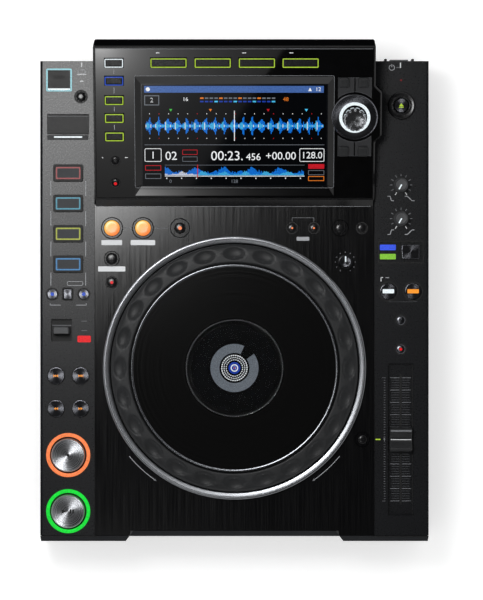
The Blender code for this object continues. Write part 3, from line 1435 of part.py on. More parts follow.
def make_light_guide():
    """The clear rings round the cue and play buttons, moulded with a bar between them."""
    shelf = -WALL - GAP
    outer = LIGHT_OUTER + LIGHT_RIM
    ring = [
        (0.0, LIGHT_PROUD),
        (LIGHT_OUTER - KEY_CHAMFER, LIGHT_PROUD),
        (LIGHT_OUTER, LIGHT_PROUD - KEY_CHAMFER),
        (LIGHT_OUTER, shelf),
        (outer, shelf),
        (outer, shelf - KEY_FLANGE),
        (0.0, shelf - KEY_FLANGE),
    ]
    cue, play = LEFT["cue"], LEFT["play"]
    guide = turned("light_guide", ring, case_point(cue, DECK_HEIGHT), sides=LARGE_SIDES)
    other = turned("ring", ring, case_point(play, DECK_HEIGHT), sides=LARGE_SIDES)
    bar_size = (LIGHT_BAR_WIDTH, cue[1] - play[1], KEY_FLANGE / 2)
    bar_level = DECK_HEIGHT + shelf - KEY_FLANGE / 2
    bar = block("bar", bar_size, (cue[0], (cue[1] + play[1]) / 2, bar_level))
    fuse(guide, [other, bar])
    height = 2 * (LIGHT_PROUD + WALL + FLANGE_DROP + OVERRUN)
    bores = [
        rod("bore", LIGHT_INNER, height, case_point(place, DECK_HEIGHT), sides=LARGE_SIDES)
        for place in (cue, play)
    ]
    cut(guide, bores)
    return paint(guide, (0.75, 0.8, 0.78), 0.25)


def cue_flange_top():
    """How far under the deck the flange of the cue and play buttons lies."""
    return WALL + 2 * GAP + KEY_FLANGE


def make_cue_button(name, place):
    shelf = -cue_flange_top()
    outer = CUE_KEY_RADIUS + CUE_KEY_RIM
    profile = [
        (0.0, CUE_KEY_PROUD - CUE_KEY_DISH),
        (CUE_KEY_RADIUS / 2, CUE_KEY_PROUD - CUE_KEY_DISH * CUE_DISH_SLOPE_SHARE),
        (CUE_KEY_RADIUS - 2 * KEY_CHAMFER, CUE_KEY_PROUD),
        (CUE_KEY_RADIUS, CUE_KEY_PROUD - 2 * KEY_CHAMFER),
        (CUE_KEY_RADIUS, shelf),
        (outer, shelf),
        (outer, shelf - KEY_FLANGE),
        (0.0, shelf - KEY_FLANGE),
    ]
    key = turned(name, profile, case_point(place, DECK_HEIGHT), sides=LARGE_SIDES)
    return paint(key, (0.55, 0.56, 0.58), 0.35, 0.8)


def make_right_keys():
    cap = (0.05, 0.05, 0.055)
    eject_proud = EJECT_COLLAR_RISE + GAP
    eject_place = case_point(RIGHT["eject"], DECK_HEIGHT)
    eject = round_key("eject_button", eject_place, EJECT_KEY_RADIUS, eject_proud, sides=MEDIUM_SIDES)
    paint(eject, cap, 0.5)
    mode = square_key(
        "jog_mode_key", case_point(RIGHT["jog_mode"], DECK_HEIGHT), JOG_MODE_WIDTH, JOG_MODE_LENGTH
    )
    paint(mode, cap, 0.5)
    names = ("sync", "master")
    sync = [
        round_key("beat_sync_keys", case_point(RIGHT[name], DECK_HEIGHT), SYNC_KEY_RADIUS, sides=MEDIUM_SIDES)
        for name in names
    ]
    paint(moulded(sync, [RIGHT[name] for name in names]), cap, 0.5)
    names = ("tempo_range", "master_tempo")
    tempo = [
        round_key("tempo_keys", case_point(RIGHT[name], DECK_HEIGHT), SMALL_KEY_RADIUS) for name in names
    ]
    paint(moulded(tempo, [RIGHT[name] for name in names]), cap, 0.5)


def make_deck_keys():
    cap = (0.05, 0.05, 0.055)
    proud = COLLAR_RISE + KEY_CHAMFER
    loops = (
        ("loop_in_button", "loop_in", LOOP_KEY_RADIUS),
        ("loop_out_button", "loop_out", LOOP_KEY_RADIUS),
        ("reloop_button", "reloop", RELOOP_KEY_RADIUS),
        ("tempo_reset_key", "tempo_reset", RESET_KEY_RADIUS),
    )
    for name, key, radius in loops:
        sides = MEDIUM_SIDES if radius == LOOP_KEY_RADIUS else SMALL_SIDES
        paint(round_key(name, case_point(DECK[key], DECK_HEIGHT), radius, proud, sides=sides), cap, 0.5)
    beats = [
        round_key("beat_loop_keys", case_point(DECK["beat"], DECK_HEIGHT), BEAT_KEY_RADIUS, proud),
        round_key("slip", case_point(DECK["slip"], DECK_HEIGHT), SLIP_KEY_RADIUS),
    ]
    paint(moulded(beats, [DECK["beat"], DECK["slip"]]), cap, 0.5)
    calls = [
        round_key("cue_call_keys", case_point(DECK["call_left"], DECK_HEIGHT), SMALL_KEY_RADIUS),
        round_key("call", case_point(DECK["call_right"], DECK_HEIGHT), SMALL_KEY_RADIUS),
        round_key("delete", case_point(DECK["delete"], DECK_HEIGHT), DELETE_KEY_RADIUS, proud),
        round_key("memory", case_point(DECK["memory"], DECK_HEIGHT), SMALL_KEY_RADIUS),
    ]
    paint(moulded(calls, [DECK["call_left"], DECK["memory"]]), cap, 0.5)


def make_panel_keys(plane):
    cap = (0.06, 0.06, 0.065)
    sources = [
        square_key(
            "source_keys",
            panel_point(name),
            SOURCE_KEY_WIDTH,
            SOURCE_KEY_LENGTH,
            thick=PANEL_THICK,
            parent=plane,
        )
        for name in SOURCE_KEYS
    ]
    sources += [
        round_key("mode", panel_point(name), SMALL_KEY_RADIUS, thick=PANEL_THICK, parent=plane)
        for name in MODE_KEYS
    ]
    ends = [PANEL["source_1"], PANEL["quantize"]]
    paint(moulded(sources, ends, PANEL_THICK, 0.0, plane), cap, 0.4)
    menus = [
        square_key(
            "menu_keys", panel_point(name), MENU_KEY_WIDTH, MENU_KEY_LENGTH, thick=PANEL_THICK, parent=plane
        )
        for name in MENU_KEYS
    ]
    ends = [PANEL["menu_1"], PANEL["menu_4"]]
    paint(moulded(menus, ends, PANEL_THICK, 0.0, plane), cap, 0.4)
    selectors = [
        square_key(
            "selector_keys",
            panel_point(name),
            SELECTOR_KEY_SIZE,
            SELECTOR_KEY_SIZE,
            thick=PANEL_THICK,
            parent=plane,
        )
        for name in SELECTOR_KEYS
    ]
    ends = [PANEL[name] for name in SELECTOR_KEYS + SELECTOR_KEYS[:1]]
    paint(moulded(selectors, ends, PANEL_THICK, 0.0, plane), cap, 0.4)


def make_knob(name, place):
    """A speed knob with its shaft down through the plate and a groove as its pointer."""
    profile = [
        (0.0, KNOB_HEIGHT),
        (KNOB_RADIUS - 2 * KEY_CHAMFER, KNOB_HEIGHT),
        (KNOB_RADIUS - KEY_CHAMFER, KNOB_HEIGHT - KEY_CHAMFER),
        (KNOB_RADIUS, GAP),
        (KNOB_SHAFT_RADIUS, GAP),
        (KNOB_SHAFT_RADIUS, GAP - SWITCH_DROP),
        (0.0, GAP - SWITCH_DROP),
    ]
    knob = turned(name, profile, case_point(place, DECK_HEIGHT), sides=MEDIUM_SIDES)
    groove_size = (KNOB_POINTER_WIDTH, 2 * KNOB_RADIUS, 2 * KEY_CHAMFER)
    x, y = place
    groove = block("pointer", groove_size, (x, y + KNOB_RADIUS, DECK_HEIGHT + KNOB_HEIGHT))
    cut(knob, [groove])
    return paint(knob, (0.04, 0.04, 0.045), 0.5)


def make_selector(plane):
    """The rotary selector and the plunger that it turns on and presses down."""
    shelf = -PANEL_THICK - GAP
    knob_foot = SELECTOR_RING_RISE + SELECTOR_TRAVEL + GAP
    top = knob_foot + SELECTOR_HEIGHT
    shaft_top = top - SELECTOR_CAP_THICK - GAP
    outer = KNOB_SHAFT_RADIUS + KEY_RIM
    plunger_profile = [
        (0.0, shaft_top),
        (KNOB_SHAFT_RADIUS, shaft_top),
        (KNOB_SHAFT_RADIUS, shelf),
        (outer, shelf),
        (outer, shelf - KEY_FLANGE),
        (0.0, shelf - KEY_FLANGE),
    ]
    plunger = turned("selector_plunger", plunger_profile, panel_point("selector"), parent=plane)
    paint(plunger, (0.5, 0.5, 0.52), 0.35, 1.0)
    bore = KNOB_SHAFT_RADIUS + GAP
    knob_profile = [
        (0.0, top),
        (SELECTOR_RADIUS - 2 * KEY_CHAMFER, top),
        (SELECTOR_RADIUS, top - 2 * KEY_CHAMFER),
        (SELECTOR_RADIUS, knob_foot),
        (bore, knob_foot),
        (bore, top - SELECTOR_CAP_THICK),
        (0.0, top - SELECTOR_CAP_THICK),
    ]
    knob = turned("selector_knob", knob_profile, panel_point("selector"), parent=plane, sides=LARGE_SIDES)
    x, y = PANEL["selector"]
    reach = SELECTOR_RADIUS + SELECTOR_SCALLOP_RADIUS / 2
    scallops = []
    for i in range(SELECTOR_SCALLOPS):
        angle = math.tau * i / SELECTOR_SCALLOPS
        place = (x + reach * math.cos(angle), y + reach * math.sin(angle), top)
        scallops.append(
            rod(
                "scallop",
                SELECTOR_SCALLOP_RADIUS,
                SELECTOR_HEIGHT,
                place,
                (0.0, 0.0, angle),
                plane,
                PIN_SIDES,
            )
        )
    cut(knob, scallops)
    paint(knob, (0.03, 0.03, 0.033), 0.35)


def make_fader():
    """The tempo fader's cap, with a waist for the finger and a stem through the slot."""
    x, y = RIGHT["fader"]
    low = DECK_HEIGHT - FADER_TRAY_DEPTH + GAP
    half = FADER_CAP_LENGTH / 2
    top = low + FADER_CAP_HEIGHT
    outline = [
        (-half, low),
        (half, low),
        (half - FADER_CAP_WAIST / 2, top),
        (FADER_CAP_WAIST / 2, top - FADER_CAP_WAIST),
        (-FADER_CAP_WAIST / 2, top - FADER_CAP_WAIST),
        (-half + FADER_CAP_WAIST / 2, top),
    ]
    fader = slab("tempo_fader", outline, FADER_CAP_WIDTH, (x, y, 0.0), ALONG_X)
    stem_size = (
        FADER_SLOT_WIDTH - 2 * GAP,
        FADER_STEM_LENGTH,
        FADER_STEM_DEPTH + WELD_OVERLAP,
    )
    stem = block("stem", stem_size, (x, y, low + WELD_OVERLAP - stem_size[2] / 2))
    fuse(fader, [stem])
    return paint(fader, (0.03, 0.03, 0.035), 0.4)


def make_fader_rail():
    """The slide potentiometer under the fader's tray, with a groove for the stem."""
    x, y = RIGHT["fader"]
    top = DECK_HEIGHT - FADER_TRAY_DEPTH - FADER_TRAY_WALL - GAP
    rail_size = (FADER_RAIL_WIDTH, FADER_TRAY_LENGTH, FADER_RAIL_HEIGHT)
    rail = block("tempo_fader_rail", rail_size, (x, y, top - FADER_RAIL_HEIGHT / 2))
    stem_foot = DECK_HEIGHT - FADER_TRAY_DEPTH + GAP - FADER_STEM_DEPTH
    groove = block_between(
        "groove",
        (x - FADER_SLOT_WIDTH / 2, y - (FADER_TRAVEL + FADER_STEM_LENGTH) / 2 - GAP, stem_foot - GAP),
        (x + FADER_SLOT_WIDTH / 2, y + (FADER_TRAVEL + FADER_STEM_LENGTH) / 2 + GAP, top + OVERRUN),
    )
    cut(rail, [groove])
    return paint(rail, (0.4, 0.4, 0.42), 0.4, 0.9)


def make_lever():
    """The direction lever: a pivot pin, a stem up through the tray and a paddle on top."""
    x, y = LEFT["lever"]
    pivot = DECK_HEIGHT - LEVER_PIVOT_LEVEL
    lever = rod(
        "direction_lever", LEVER_PIVOT_RADIUS, LEVER_PIVOT_LENGTH, (x, y, pivot), ALONG_X, sides=MEDIUM_SIDES
    )
    foot = pivot + LEVER_PADDLE_RISE
    top = DECK_HEIGHT + LEVER_RISE
    stem_size = (LEVER_STEM_WIDTH, LEVER_STEM_LENGTH, LEVER_PADDLE_RISE + WELD_OVERLAP)
    stem = block("stem", stem_size, (x, y, pivot + stem_size[2] / 2))
    paddle_size = (LEVER_WIDTH, LEVER_LENGTH, top - foot)
    paddle = block("paddle", paddle_size, (x, y, (top + foot) / 2), taper=LEVER_TAPER_SHARE)
    rounded(paddle, KEY_CHAMFER)
    fuse(lever, [stem, paddle])
    return paint(lever, (0.04, 0.04, 0.045), 0.4)


def make_lid(name, place, width, length):
    """A lid with a hinge pin along its rear edge."""
    hinge_y, hinge_z = hinge_line(place, length)
    pin_length = width + 2 * LID_PIN_REACH
    lid = rod(name, LID_PIN_RADIUS, pin_length, (place[0], hinge_y, hinge_z), ALONG_X, sides=PIN_SIDES)
    fuse(lid, [block("plate", (width, length, LID_THICK), (place[0], place[1], hinge_z))])
    return paint(lid, (0.05, 0.05, 0.055), 0.4)


def make_power_switch():
    """The rocker at the rear: its pin lies in the rear panel, and its face bulges outwards."""
    x = RIGHT["power"][0]
    pin_length = POWER_WIDTH + 2 * (POWER_CLEARANCE + LID_PIN_REACH)
    rocker = rod(
        "power_switch", POWER_PIN_RADIUS, pin_length, (x, REAR_PANEL_Y, POWER_LEVEL), ALONG_X, sides=PIN_SIDES
    )
    half = POWER_HEIGHT / 2
    outline = [
        (-POWER_BODY_DEPTH, -half),
        (POWER_EDGE, -half),
        (POWER_EDGE + POWER_BULGE, 0.0),
        (POWER_EDGE, half),
        (-POWER_BODY_DEPTH, half),
    ]
    turned_outline = [
        (
            y * math.cos(POWER_TILT) - z * math.sin(POWER_TILT),
            y * math.sin(POWER_TILT) + z * math.cos(POWER_TILT),
        )
        for y, z in outline
    ]
    fuse(rocker, [slab("rocker", turned_outline, POWER_WIDTH, (x, REAR_PANEL_Y, POWER_LEVEL), ALONG_X)])
    return paint(rocker, (0.03, 0.03, 0.03), 0.35)


def switch(place, top=DECK_HEIGHT - SWITCH_DROP):
    """A switch on a key board, fused to it."""
    low = BOARD_TOP - BOARD_THICK / 2
    return block("switch", (SWITCH_WIDTH, SWITCH_WIDTH, top - low), case_point(place, (top + low) / 2))


def side_board(side, name):
    """A key board under a wing, between the pillars."""
    front, rear = pillar_lines()
    clear = PILLAR_RADIUS + GAP
    inner = side * (SEAM_X + BOARD_SIDE_INSET / 2)
    outer = side * (HALF_WIDTH - BOARD_SIDE_INSET)
    low = (min(inner, outer), front + clear, BOARD_TOP - BOARD_THICK)
    return block_between(name, low, (max(inner, outer), rear - clear, BOARD_TOP))


def socket_post(place, width, length):
    """A socket on the left board that comes up through a well's floor."""
    low = BOARD_TOP - BOARD_THICK / 2
    top = DECK_HEIGHT - WELL_DEPTH + SOCKET_PROUD
    return block("socket", (width, length, top - low), case_point(place, (top + low) / 2))


def make_left_board():
    board = side_board(-1, "left_key_board")
    names = ("usb_stop", "pad_a", "pad_b", "pad_c", "pad_d", "bank_left", "bank_middle", "bank_right")
    names += ("track_back", "track_next", "search_back", "search_next")
    joined = [switch(LEFT[name]) for name in names]
    cue_switch = DECK_HEIGHT - cue_flange_top() - KEY_FLANGE - CUE_KEY_TRAVEL - GAP
    joined += [switch(LEFT[name], cue_switch) for name in ("cue", "play")]
    joined.append(socket_post(LEFT["usb_well"], USB_SOCKET_WIDTH, USB_SOCKET_LENGTH))
    joined.append(socket_post(LEFT["card_well"], CARD_SOCKET_WIDTH, CARD_SOCKET_LENGTH))
    x, y = LEFT["lever"]
    pivot = DECK_HEIGHT - LEVER_PIVOT_LEVEL
    low = BOARD_TOP - BOARD_THICK / 2
    cradle_size = (LEVER_CRADLE_WIDTH, LEVER_CRADLE_LENGTH, pivot - low)
    joined.append(block("cradle", cradle_size, (x, y, (pivot + low) / 2)))
    fuse(board, joined)
    groove_length = LEVER_PIVOT_LENGTH + 2 * GAP
    groove_radius = LEVER_PIVOT_RADIUS + GAP
    groove = rod("groove", groove_radius, groove_length, (x, y, pivot), ALONG_X, sides=MEDIUM_SIDES)
    cut(board, [groove])
    return paint(board, (0.02, 0.16, 0.07), 0.5)


def make_right_board():
    board = side_board(1, "right_key_board")
    low = BOARD_TOP - BOARD_THICK
    x, y = DECK["tempo_reset"]
    half = SWITCH_WIDTH
    tab = block_between(
        "tab", (x - BOARD_MARGIN, y - half, low), (SEAM_X + BOARD_MARGIN, y + half, BOARD_TOP)
    )
    names = ("eject", "brake", "release", "jog_mode", "sync", "master", "tempo_range", "master_tempo")
    joined = [tab] + [switch(RIGHT[name]) for name in names] + [switch(DECK["tempo_reset"])]
    fuse(board, joined)
    width = FADER_RAIL_WIDTH + 2 * GAP
    length = FADER_TRAY_LENGTH + 2 * GAP
    fader = case_point(RIGHT["fader"], BOARD_TOP)
    cut(board, [window(fader, width, length, thick=BOARD_THICK)])
    return paint(board, (0.02, 0.16, 0.07), 0.5)


def make_deck_board():
    """The board under the front edge of the display, with a leg on each side of the dish."""
    low = BOARD_TOP - BOARD_THICK
    half = SWITCH_WIDTH / 2 + BOARD_MARGIN
    row = DECK["loop_in"][1]
    board = block_between(
        "deck_key_board",
        (-SEAM_X, row - SWITCH_WIDTH, low),
        (SEAM_X, row + half, BOARD_TOP),
    )
    left_x, left_y = DECK["slip"]
    right_x, right_y = DECK["jog_adjust"]
    names = ("loop_in", "loop_out", "reloop", "beat", "slip", "call_left", "call_right", "delete", "memory")
    joined = [switch(DECK[name]) for name in names + ("jog_adjust",)]
    joined += [
        block_between(
            "leg",
            (left_x - SWITCH_WIDTH, left_y - BOARD_MARGIN, low),
            (left_x + SWITCH_WIDTH, row, BOARD_TOP),
        ),
        block_between(
            "leg",
            (right_x - SWITCH_WIDTH, right_y - BOARD_MARGIN, low),
            (right_x + SWITCH_WIDTH, row, BOARD_TOP),
        ),
    ]
    fuse(board, joined)
    return paint(board, (0.02, 0.16, 0.07), 0.5)


def inner_boards():
    """Centre, width and length of each board that stands on the base plate."""
    supply_y = WING_REAR_Y - WALL - GAP - SUPPLY_LENGTH / 2
    jack_y = WING_REAR_Y - WALL - GAP - JACK_BOARD_LENGTH / 2
    parting_x = PARTING_SHARE * HALF_WIDTH
    supply_x = parting_x + (BOARD_SPACE + SUPPLY_WIDTH) / 2
    jack_x = parting_x - (BOARD_SPACE + JACK_BOARD_WIDTH) / 2
    return {
        "main": (0.0, MAIN_BOARD_SHARE * REAR_Y, MAIN_BOARD_WIDTH, MAIN_BOARD_LENGTH),
        "supply": (supply_x, supply_y, SUPPLY_WIDTH, SUPPLY_LENGTH),
        "jack": (jack_x, jack_y, JACK_BOARD_WIDTH, JACK_BOARD_LENGTH),
    }


def board_posts():
    """Where the base plate's standoffs are: under the corners of the inner boards."""
    places = []
    for x, y, width, length in inner_boards().values():
        for across in (-1, 1):
            for along in (-1, 1):
                post_x = x + across * (width / 2 - POST_INSET)
                post_y = y + along * (length / 2 - POST_INSET)
                places.append((post_x, post_y))
    return places


def inner_board(name, key):
    x, y, width, length = inner_boards()[key]
    size = (width, length, BOARD_THICK)
    return block(name, size, (x, y, INNER_BOARD_TOP - BOARD_THICK / 2))


def on_board(name, key, shares, size):
    """A block that stands on an inner board, at shares of its half width and half length."""
    x, y, width, length = inner_boards()[key]
    low = INNER_BOARD_TOP - BOARD_THICK / 2
    place = (
        x + shares[0] * width / 2,
        y + shares[1] * length / 2,
        low + size[2] / 2,
    )
    return block(name, size, place)


def make_main_board():
    board = inner_board("main_board", "main")
    sizes = {
        "processor": (PROCESSOR_WIDTH, PROCESSOR_WIDTH, CHIP_HEIGHT),
        "memory_rear": (CHIP_WIDTH, CHIP_LENGTH, CHIP_HEIGHT),
        "memory_front": (CHIP_WIDTH, CHIP_LENGTH, CHIP_HEIGHT),
        "sound_chip": (CHIP_WIDTH, CHIP_WIDTH, CHIP_HEIGHT),
        "connector_right": (CONNECTOR_LENGTH, CHIP_WIDTH / 2, CONNECTOR_HEIGHT),
        "connector_left": (CONNECTOR_LENGTH, CHIP_WIDTH / 2, CONNECTOR_HEIGHT),
    }
    parts = [on_board(name, "main", MAIN_PART_SHARES[name], size) for name, size in sizes.items()]
    fuse(board, parts)
    return paint(board, (0.02, 0.16, 0.07), 0.5)


def make_rear_panel():
    """The rear wall, with holes for the sockets and the power switch between two ribs."""
    low, high = BASE_LEVEL, PLATE_UNDERSIDE - GAP
    panel = block_between("rear_panel", (-INNER_X, WING_REAR_Y - WALL, low), (INNER_X, WING_REAR_Y, high))
    x = RIGHT["power"][0]
    rib_x = POWER_WIDTH / 2 + POWER_CLEARANCE + LID_PIN_REACH + POWER_RIB_THICK
    rib_size = (POWER_RIB_THICK, WALL + POWER_RIB_REACH, POWER_RIB_HEIGHT)
    rib_y = WING_REAR_Y - WALL / 2 + POWER_RIB_REACH / 2
    ribs = [block("rib", rib_size, (x + side * rib_x, rib_y, POWER_LEVEL)) for side in (-1, 1)]
    fuse(panel, ribs)
    level = INNER_BOARD_TOP + SOCKET_LEVEL
    depth = WALL + 2 * OVERRUN
    cuts = []
    squares = (
        ("inlet", INLET_WIDTH, INLET_HEIGHT),
        ("network", NETWORK_WIDTH, NETWORK_HEIGHT),
        ("data", DATA_WIDTH, DATA_HEIGHT),
    )
    for name, width, height in squares:
        size = (width + 2 * GAP, depth, height + 2 * GAP)
        cuts.append(block("hole", size, (REAR_SHARES[name] * HALF_WIDTH, REAR_PANEL_Y, level)))
    lock_size = (LOCK_SLOT_WIDTH, depth, LOCK_SLOT_HEIGHT)
    cuts.append(block("hole", lock_size, (REAR_SHARES["lock"] * HALF_WIDTH, REAR_PANEL_Y, level)))
    for name in ("digital", "audio_right", "audio_left", "control"):
        radius = CONTROL_RADIUS if name == "control" else PHONO_RADIUS
        place = (REAR_SHARES[name] * HALF_WIDTH, REAR_PANEL_Y, level)
        cuts.append(rod("hole", radius + GAP, depth, place, ALONG_Y, sides=MEDIUM_SIDES))
    opening = (POWER_WIDTH + 2 * POWER_CLEARANCE, depth, POWER_HEIGHT + 2 * POWER_CLEARANCE)
    cuts.append(block("power hole", opening, (x, REAR_PANEL_Y, POWER_LEVEL)))
    pin_length = POWER_WIDTH + 2 * (POWER_CLEARANCE + LID_PIN_REACH + GAP)
    pin_radius = POWER_PIN_RADIUS + GAP
    cuts.append(
        rod("pin hole", pin_radius, pin_length, (x, REAR_PANEL_Y, POWER_LEVEL), ALONG_X, sides=PIN_SIDES)
    )
    cut(panel, cuts)
    return paint(panel, (0.03, 0.03, 0.032), 0.5)


def make_jack_board():
    """The board of the rear sockets: network, data, three phono sockets and control."""
    board = inner_board("rear_jack_board", "jack")
    level = INNER_BOARD_TOP + SOCKET_LEVEL
    low = INNER_BOARD_TOP - BOARD_THICK / 2
    inside = WING_REAR_Y - WALL - GAP
    joined = []
    cuts = []
    for name in ("digital", "audio_right", "audio_left", "control"):
        x = REAR_SHARES[name] * HALF_WIDTH
        radius = CONTROL_RADIUS if name == "control" else PHONO_RADIUS
        reach = CONTROL_REACH if name == "control" else PHONO_REACH
        top = level + PHONO_BODY / 2
        joined.append(
            block_between(
                "body", (x - PHONO_BODY / 2, inside - PHONO_BODY, low), (x + PHONO_BODY / 2, inside, top)
            )
        )
        length = PHONO_BODY / 2 + GAP + WALL + reach
        end = WING_REAR_Y + reach
        joined.append(
            rod("barrel", radius, length, (x, end - length / 2, level), ALONG_Y, sides=MEDIUM_SIDES)
        )
        cuts.append(rod("bore", PHONO_BORE, 2 * length, (x, end, level), ALONG_Y, sides=PIN_SIDES))
    network_mouth = (NETWORK_MOUTH_WIDTH, 2 * NETWORK_MOUTH_DEPTH, NETWORK_MOUTH_HEIGHT)
    data_mouth = (DATA_MOUTH_WIDTH, 2 * DATA_MOUTH_DEPTH, DATA_MOUTH_HEIGHT)
    squares = (
        ("network", NETWORK_WIDTH, NETWORK_HEIGHT, network_mouth),
        ("data", DATA_WIDTH, DATA_HEIGHT, data_mouth),
    )
    for name, width, height, mouth_size in squares:
        x = REAR_SHARES[name] * HALF_WIDTH
        joined.append(
            block_between(
                "body",
                (x - width / 2, WING_REAR_Y - NETWORK_DEPTH, level - height / 2),
                (x + width / 2, WING_REAR_Y, level + height / 2),
            )
        )
        joined.append(
            block_between(
                "foot",
                (x - width / 2, WING_REAR_Y - NETWORK_DEPTH, low),
                (x + width / 2, inside, level),
            )
        )
        cuts.append(block("mouth", mouth_size, (x, WING_REAR_Y, level)))
    fuse(board, joined)
    cut(board, cuts)
    x = REAR_SHARES["data"] * HALF_WIDTH
    tongue_size = (DATA_TONGUE_WIDTH, DATA_MOUTH_DEPTH, DATA_TONGUE_HEIGHT)
    fuse(board, [block("tongue", tongue_size, (x, WING_REAR_Y - DATA_MOUTH_DEPTH / 2 - GAP, level))])
    return paint(board, (0.02, 0.16, 0.07), 0.5)


def make_supply():
    """The power supply with the mains inlet on its board."""
    board = inner_board("power_supply", "supply")
    level = INNER_BOARD_TOP + SOCKET_LEVEL
    low = INNER_BOARD_TOP - BOARD_THICK / 2
    inside = WING_REAR_Y - WALL - GAP
    x = REAR_SHARES["inlet"] * HALF_WIDTH
    half = INLET_WIDTH / 2
    joined = [
        block_between(
            "inlet",
            (x - half, WING_REAR_Y - INLET_DEPTH, level - INLET_HEIGHT / 2),
            (x + half, WING_REAR_Y, level + INLET_HEIGHT / 2),
        ),
        block_between("foot", (x - half, WING_REAR_Y - INLET_DEPTH, low), (x + half, inside, level)),
    ]
    sizes = {
        "transformer": (TRANSFORMER_WIDTH, TRANSFORMER_WIDTH, TRANSFORMER_HEIGHT),
        "heat_sink": (HEAT_SINK_WIDTH, HEAT_SINK_THICK, TRANSFORMER_HEIGHT),
        "filter": (CHIP_LENGTH, CHIP_WIDTH, CONNECTOR_HEIGHT),
    }
    joined += [on_board(name, "supply", SUPPLY_PART_SHARES[name], size) for name, size in sizes.items()]
    fuse(board, joined)
    mouth_size = (INLET_MOUTH_WIDTH, 2 * INLET_MOUTH_DEPTH, INLET_MOUTH_HEIGHT)
    cut(board, [block("mouth", mouth_size, (x, WING_REAR_Y, level))])
    pin_y = WING_REAR_Y - INLET_MOUTH_DEPTH / 2 - GAP
    pins = [
        rod(
            "pin",
            INLET_PIN_RADIUS,
            INLET_MOUTH_DEPTH,
            (x + side * INLET_PIN_SPACING / 2, pin_y, level),
            ALONG_Y,
            sides=PIN_SIDES,
        )
        for side in (-1, 1)
    ]
    fuse(board, pins)
    return paint(board, (0.02, 0.16, 0.07), 0.5)


def drive_span():
    """Front and rear of the drive frame."""
    front = FRONT_Y + DRIVE_FRONT_INSET
    return front, front + DRIVE_LENGTH


def hub_levels():
    """Top and underside of the turntable that carries the disc."""
    top = SLOT_LEVEL - PATH_HALF
    return top, top - HUB_TABLE_THICK


def roller_place():
    return (0.0, drive_span()[0] + ROLLER_INSET, SLOT_LEVEL - PATH_HALF - ROLLER_RADIUS)


def sled_place():
    """Where the laser sled rests: at the inner end of its rods."""
    level = SLOT_LEVEL - DRIVE_FLOOR_DROP + DRIVE_SHEET + ROD_RISE
    return (0.0, FRONT_Y + HUB_INSET + SLED_REST_OFFSET, level)


def make_drive_frame():
    """The sheet frame of the disc drive, with its legs, motor, guide rods, clamp and lip."""
    front, rear = drive_span()
    low = SLOT_LEVEL - DRIVE_FLOOR_DROP
    high = SLOT_LEVEL + DRIVE_ROOF_RISE
    floor = low + DRIVE_SHEET
    roof = high - DRIVE_SHEET
    half = DRIVE_WIDTH / 2
    frame = block_between("drive_frame", (-half, front, low), (half, rear, high))
    tunnel = block_between(
        "tunnel",
        (-half + DRIVE_SHEET, front - OVERRUN, floor),
        (half - DRIVE_SHEET, rear + OVERRUN, roof),
    )
    cut(frame, [tunnel])
    joined = []
    leg_low = BASE_TOP + GAP
    leg_height = low + WELD_OVERLAP - leg_low
    for x in (-half + DRIVE_LEG_INSET, half - DRIVE_LEG_INSET):
        for y in (front + DRIVE_LEG_INSET, rear - DRIVE_LEG_INSET):
            place = (x, y, leg_low + leg_height / 2)
            joined.append(rod("leg", DRIVE_LEG_RADIUS, leg_height, place, sides=PIN_SIDES))
    hub_y = FRONT_Y + HUB_INSET
    motor_low = floor - DRIVE_SHEET / 2
    motor_high = hub_levels()[1] - GAP
    motor_place = (0.0, hub_y, (motor_low + motor_high) / 2)
    joined.append(rod("motor", MOTOR_RADIUS, motor_high - motor_low, motor_place, sides=MEDIUM_SIDES))
    clamp_low = SLOT_LEVEL + PATH_HALF
    clamp_high = roof + DRIVE_SHEET / 2
    clamp_place = (0.0, hub_y, (clamp_low + clamp_high) / 2)
    joined.append(rod("clamp", CLAMP_RADIUS, clamp_high - clamp_low, clamp_place, sides=MEDIUM_SIDES))
    lip_y = roller_place()[1]
    lip_half = ROLLER_LENGTH / 2
    joined.append(
        block_between(
            "lip",
            (-lip_half, lip_y - ROLLER_RADIUS, clamp_low),
            (lip_half, lip_y + ROLLER_RADIUS, clamp_high),
        )
    )
    sled_y, level = sled_place()[1:]
    ends = (
        sled_y - SLED_LENGTH / 2 - 2 * GAP - ROD_END_THICK,
        sled_y + SLED_TRAVEL + SLED_LENGTH / 2 + 2 * GAP,
    )
    for y in ends:
        joined.append(
            block_between(
                "rod end",
                (-SLED_WIDTH / 2, y, motor_low),
                (SLED_WIDTH / 2, y + ROD_END_THICK, level + ROD_RADIUS + GAP),
            )
        )
    rod_length = ends[1] - ends[0] + ROD_END_THICK / 2
    rod_y = (ends[0] + ends[1] + ROD_END_THICK) / 2
    for side in (-1, 1):
        place = (side * ROD_SPACING / 2, rod_y, level)
        joined.append(rod("rod", ROD_RADIUS, rod_length, place, ALONG_Y, sides=PIN_SIDES))
    fuse(frame, joined)
    bore_low = floor
    bore_height = motor_high + OVERRUN - bore_low
    bore = rod(
        "bore",
        HUB_SHAFT_RADIUS + GAP,
        bore_height,
        (0.0, hub_y, bore_low + bore_height / 2),
        sides=SMALL_SIDES,
    )
    axle_radius = ROLLER_SHAFT_RADIUS + GAP
    axle_length = DRIVE_WIDTH + 2 * OVERRUN
    axle = rod("axle hole", axle_radius, axle_length, roller_place(), ALONG_X, sides=PIN_SIDES)
    cut(frame, [bore, axle])
    return paint(frame, (0.5, 0.51, 0.53), 0.4, 0.9)


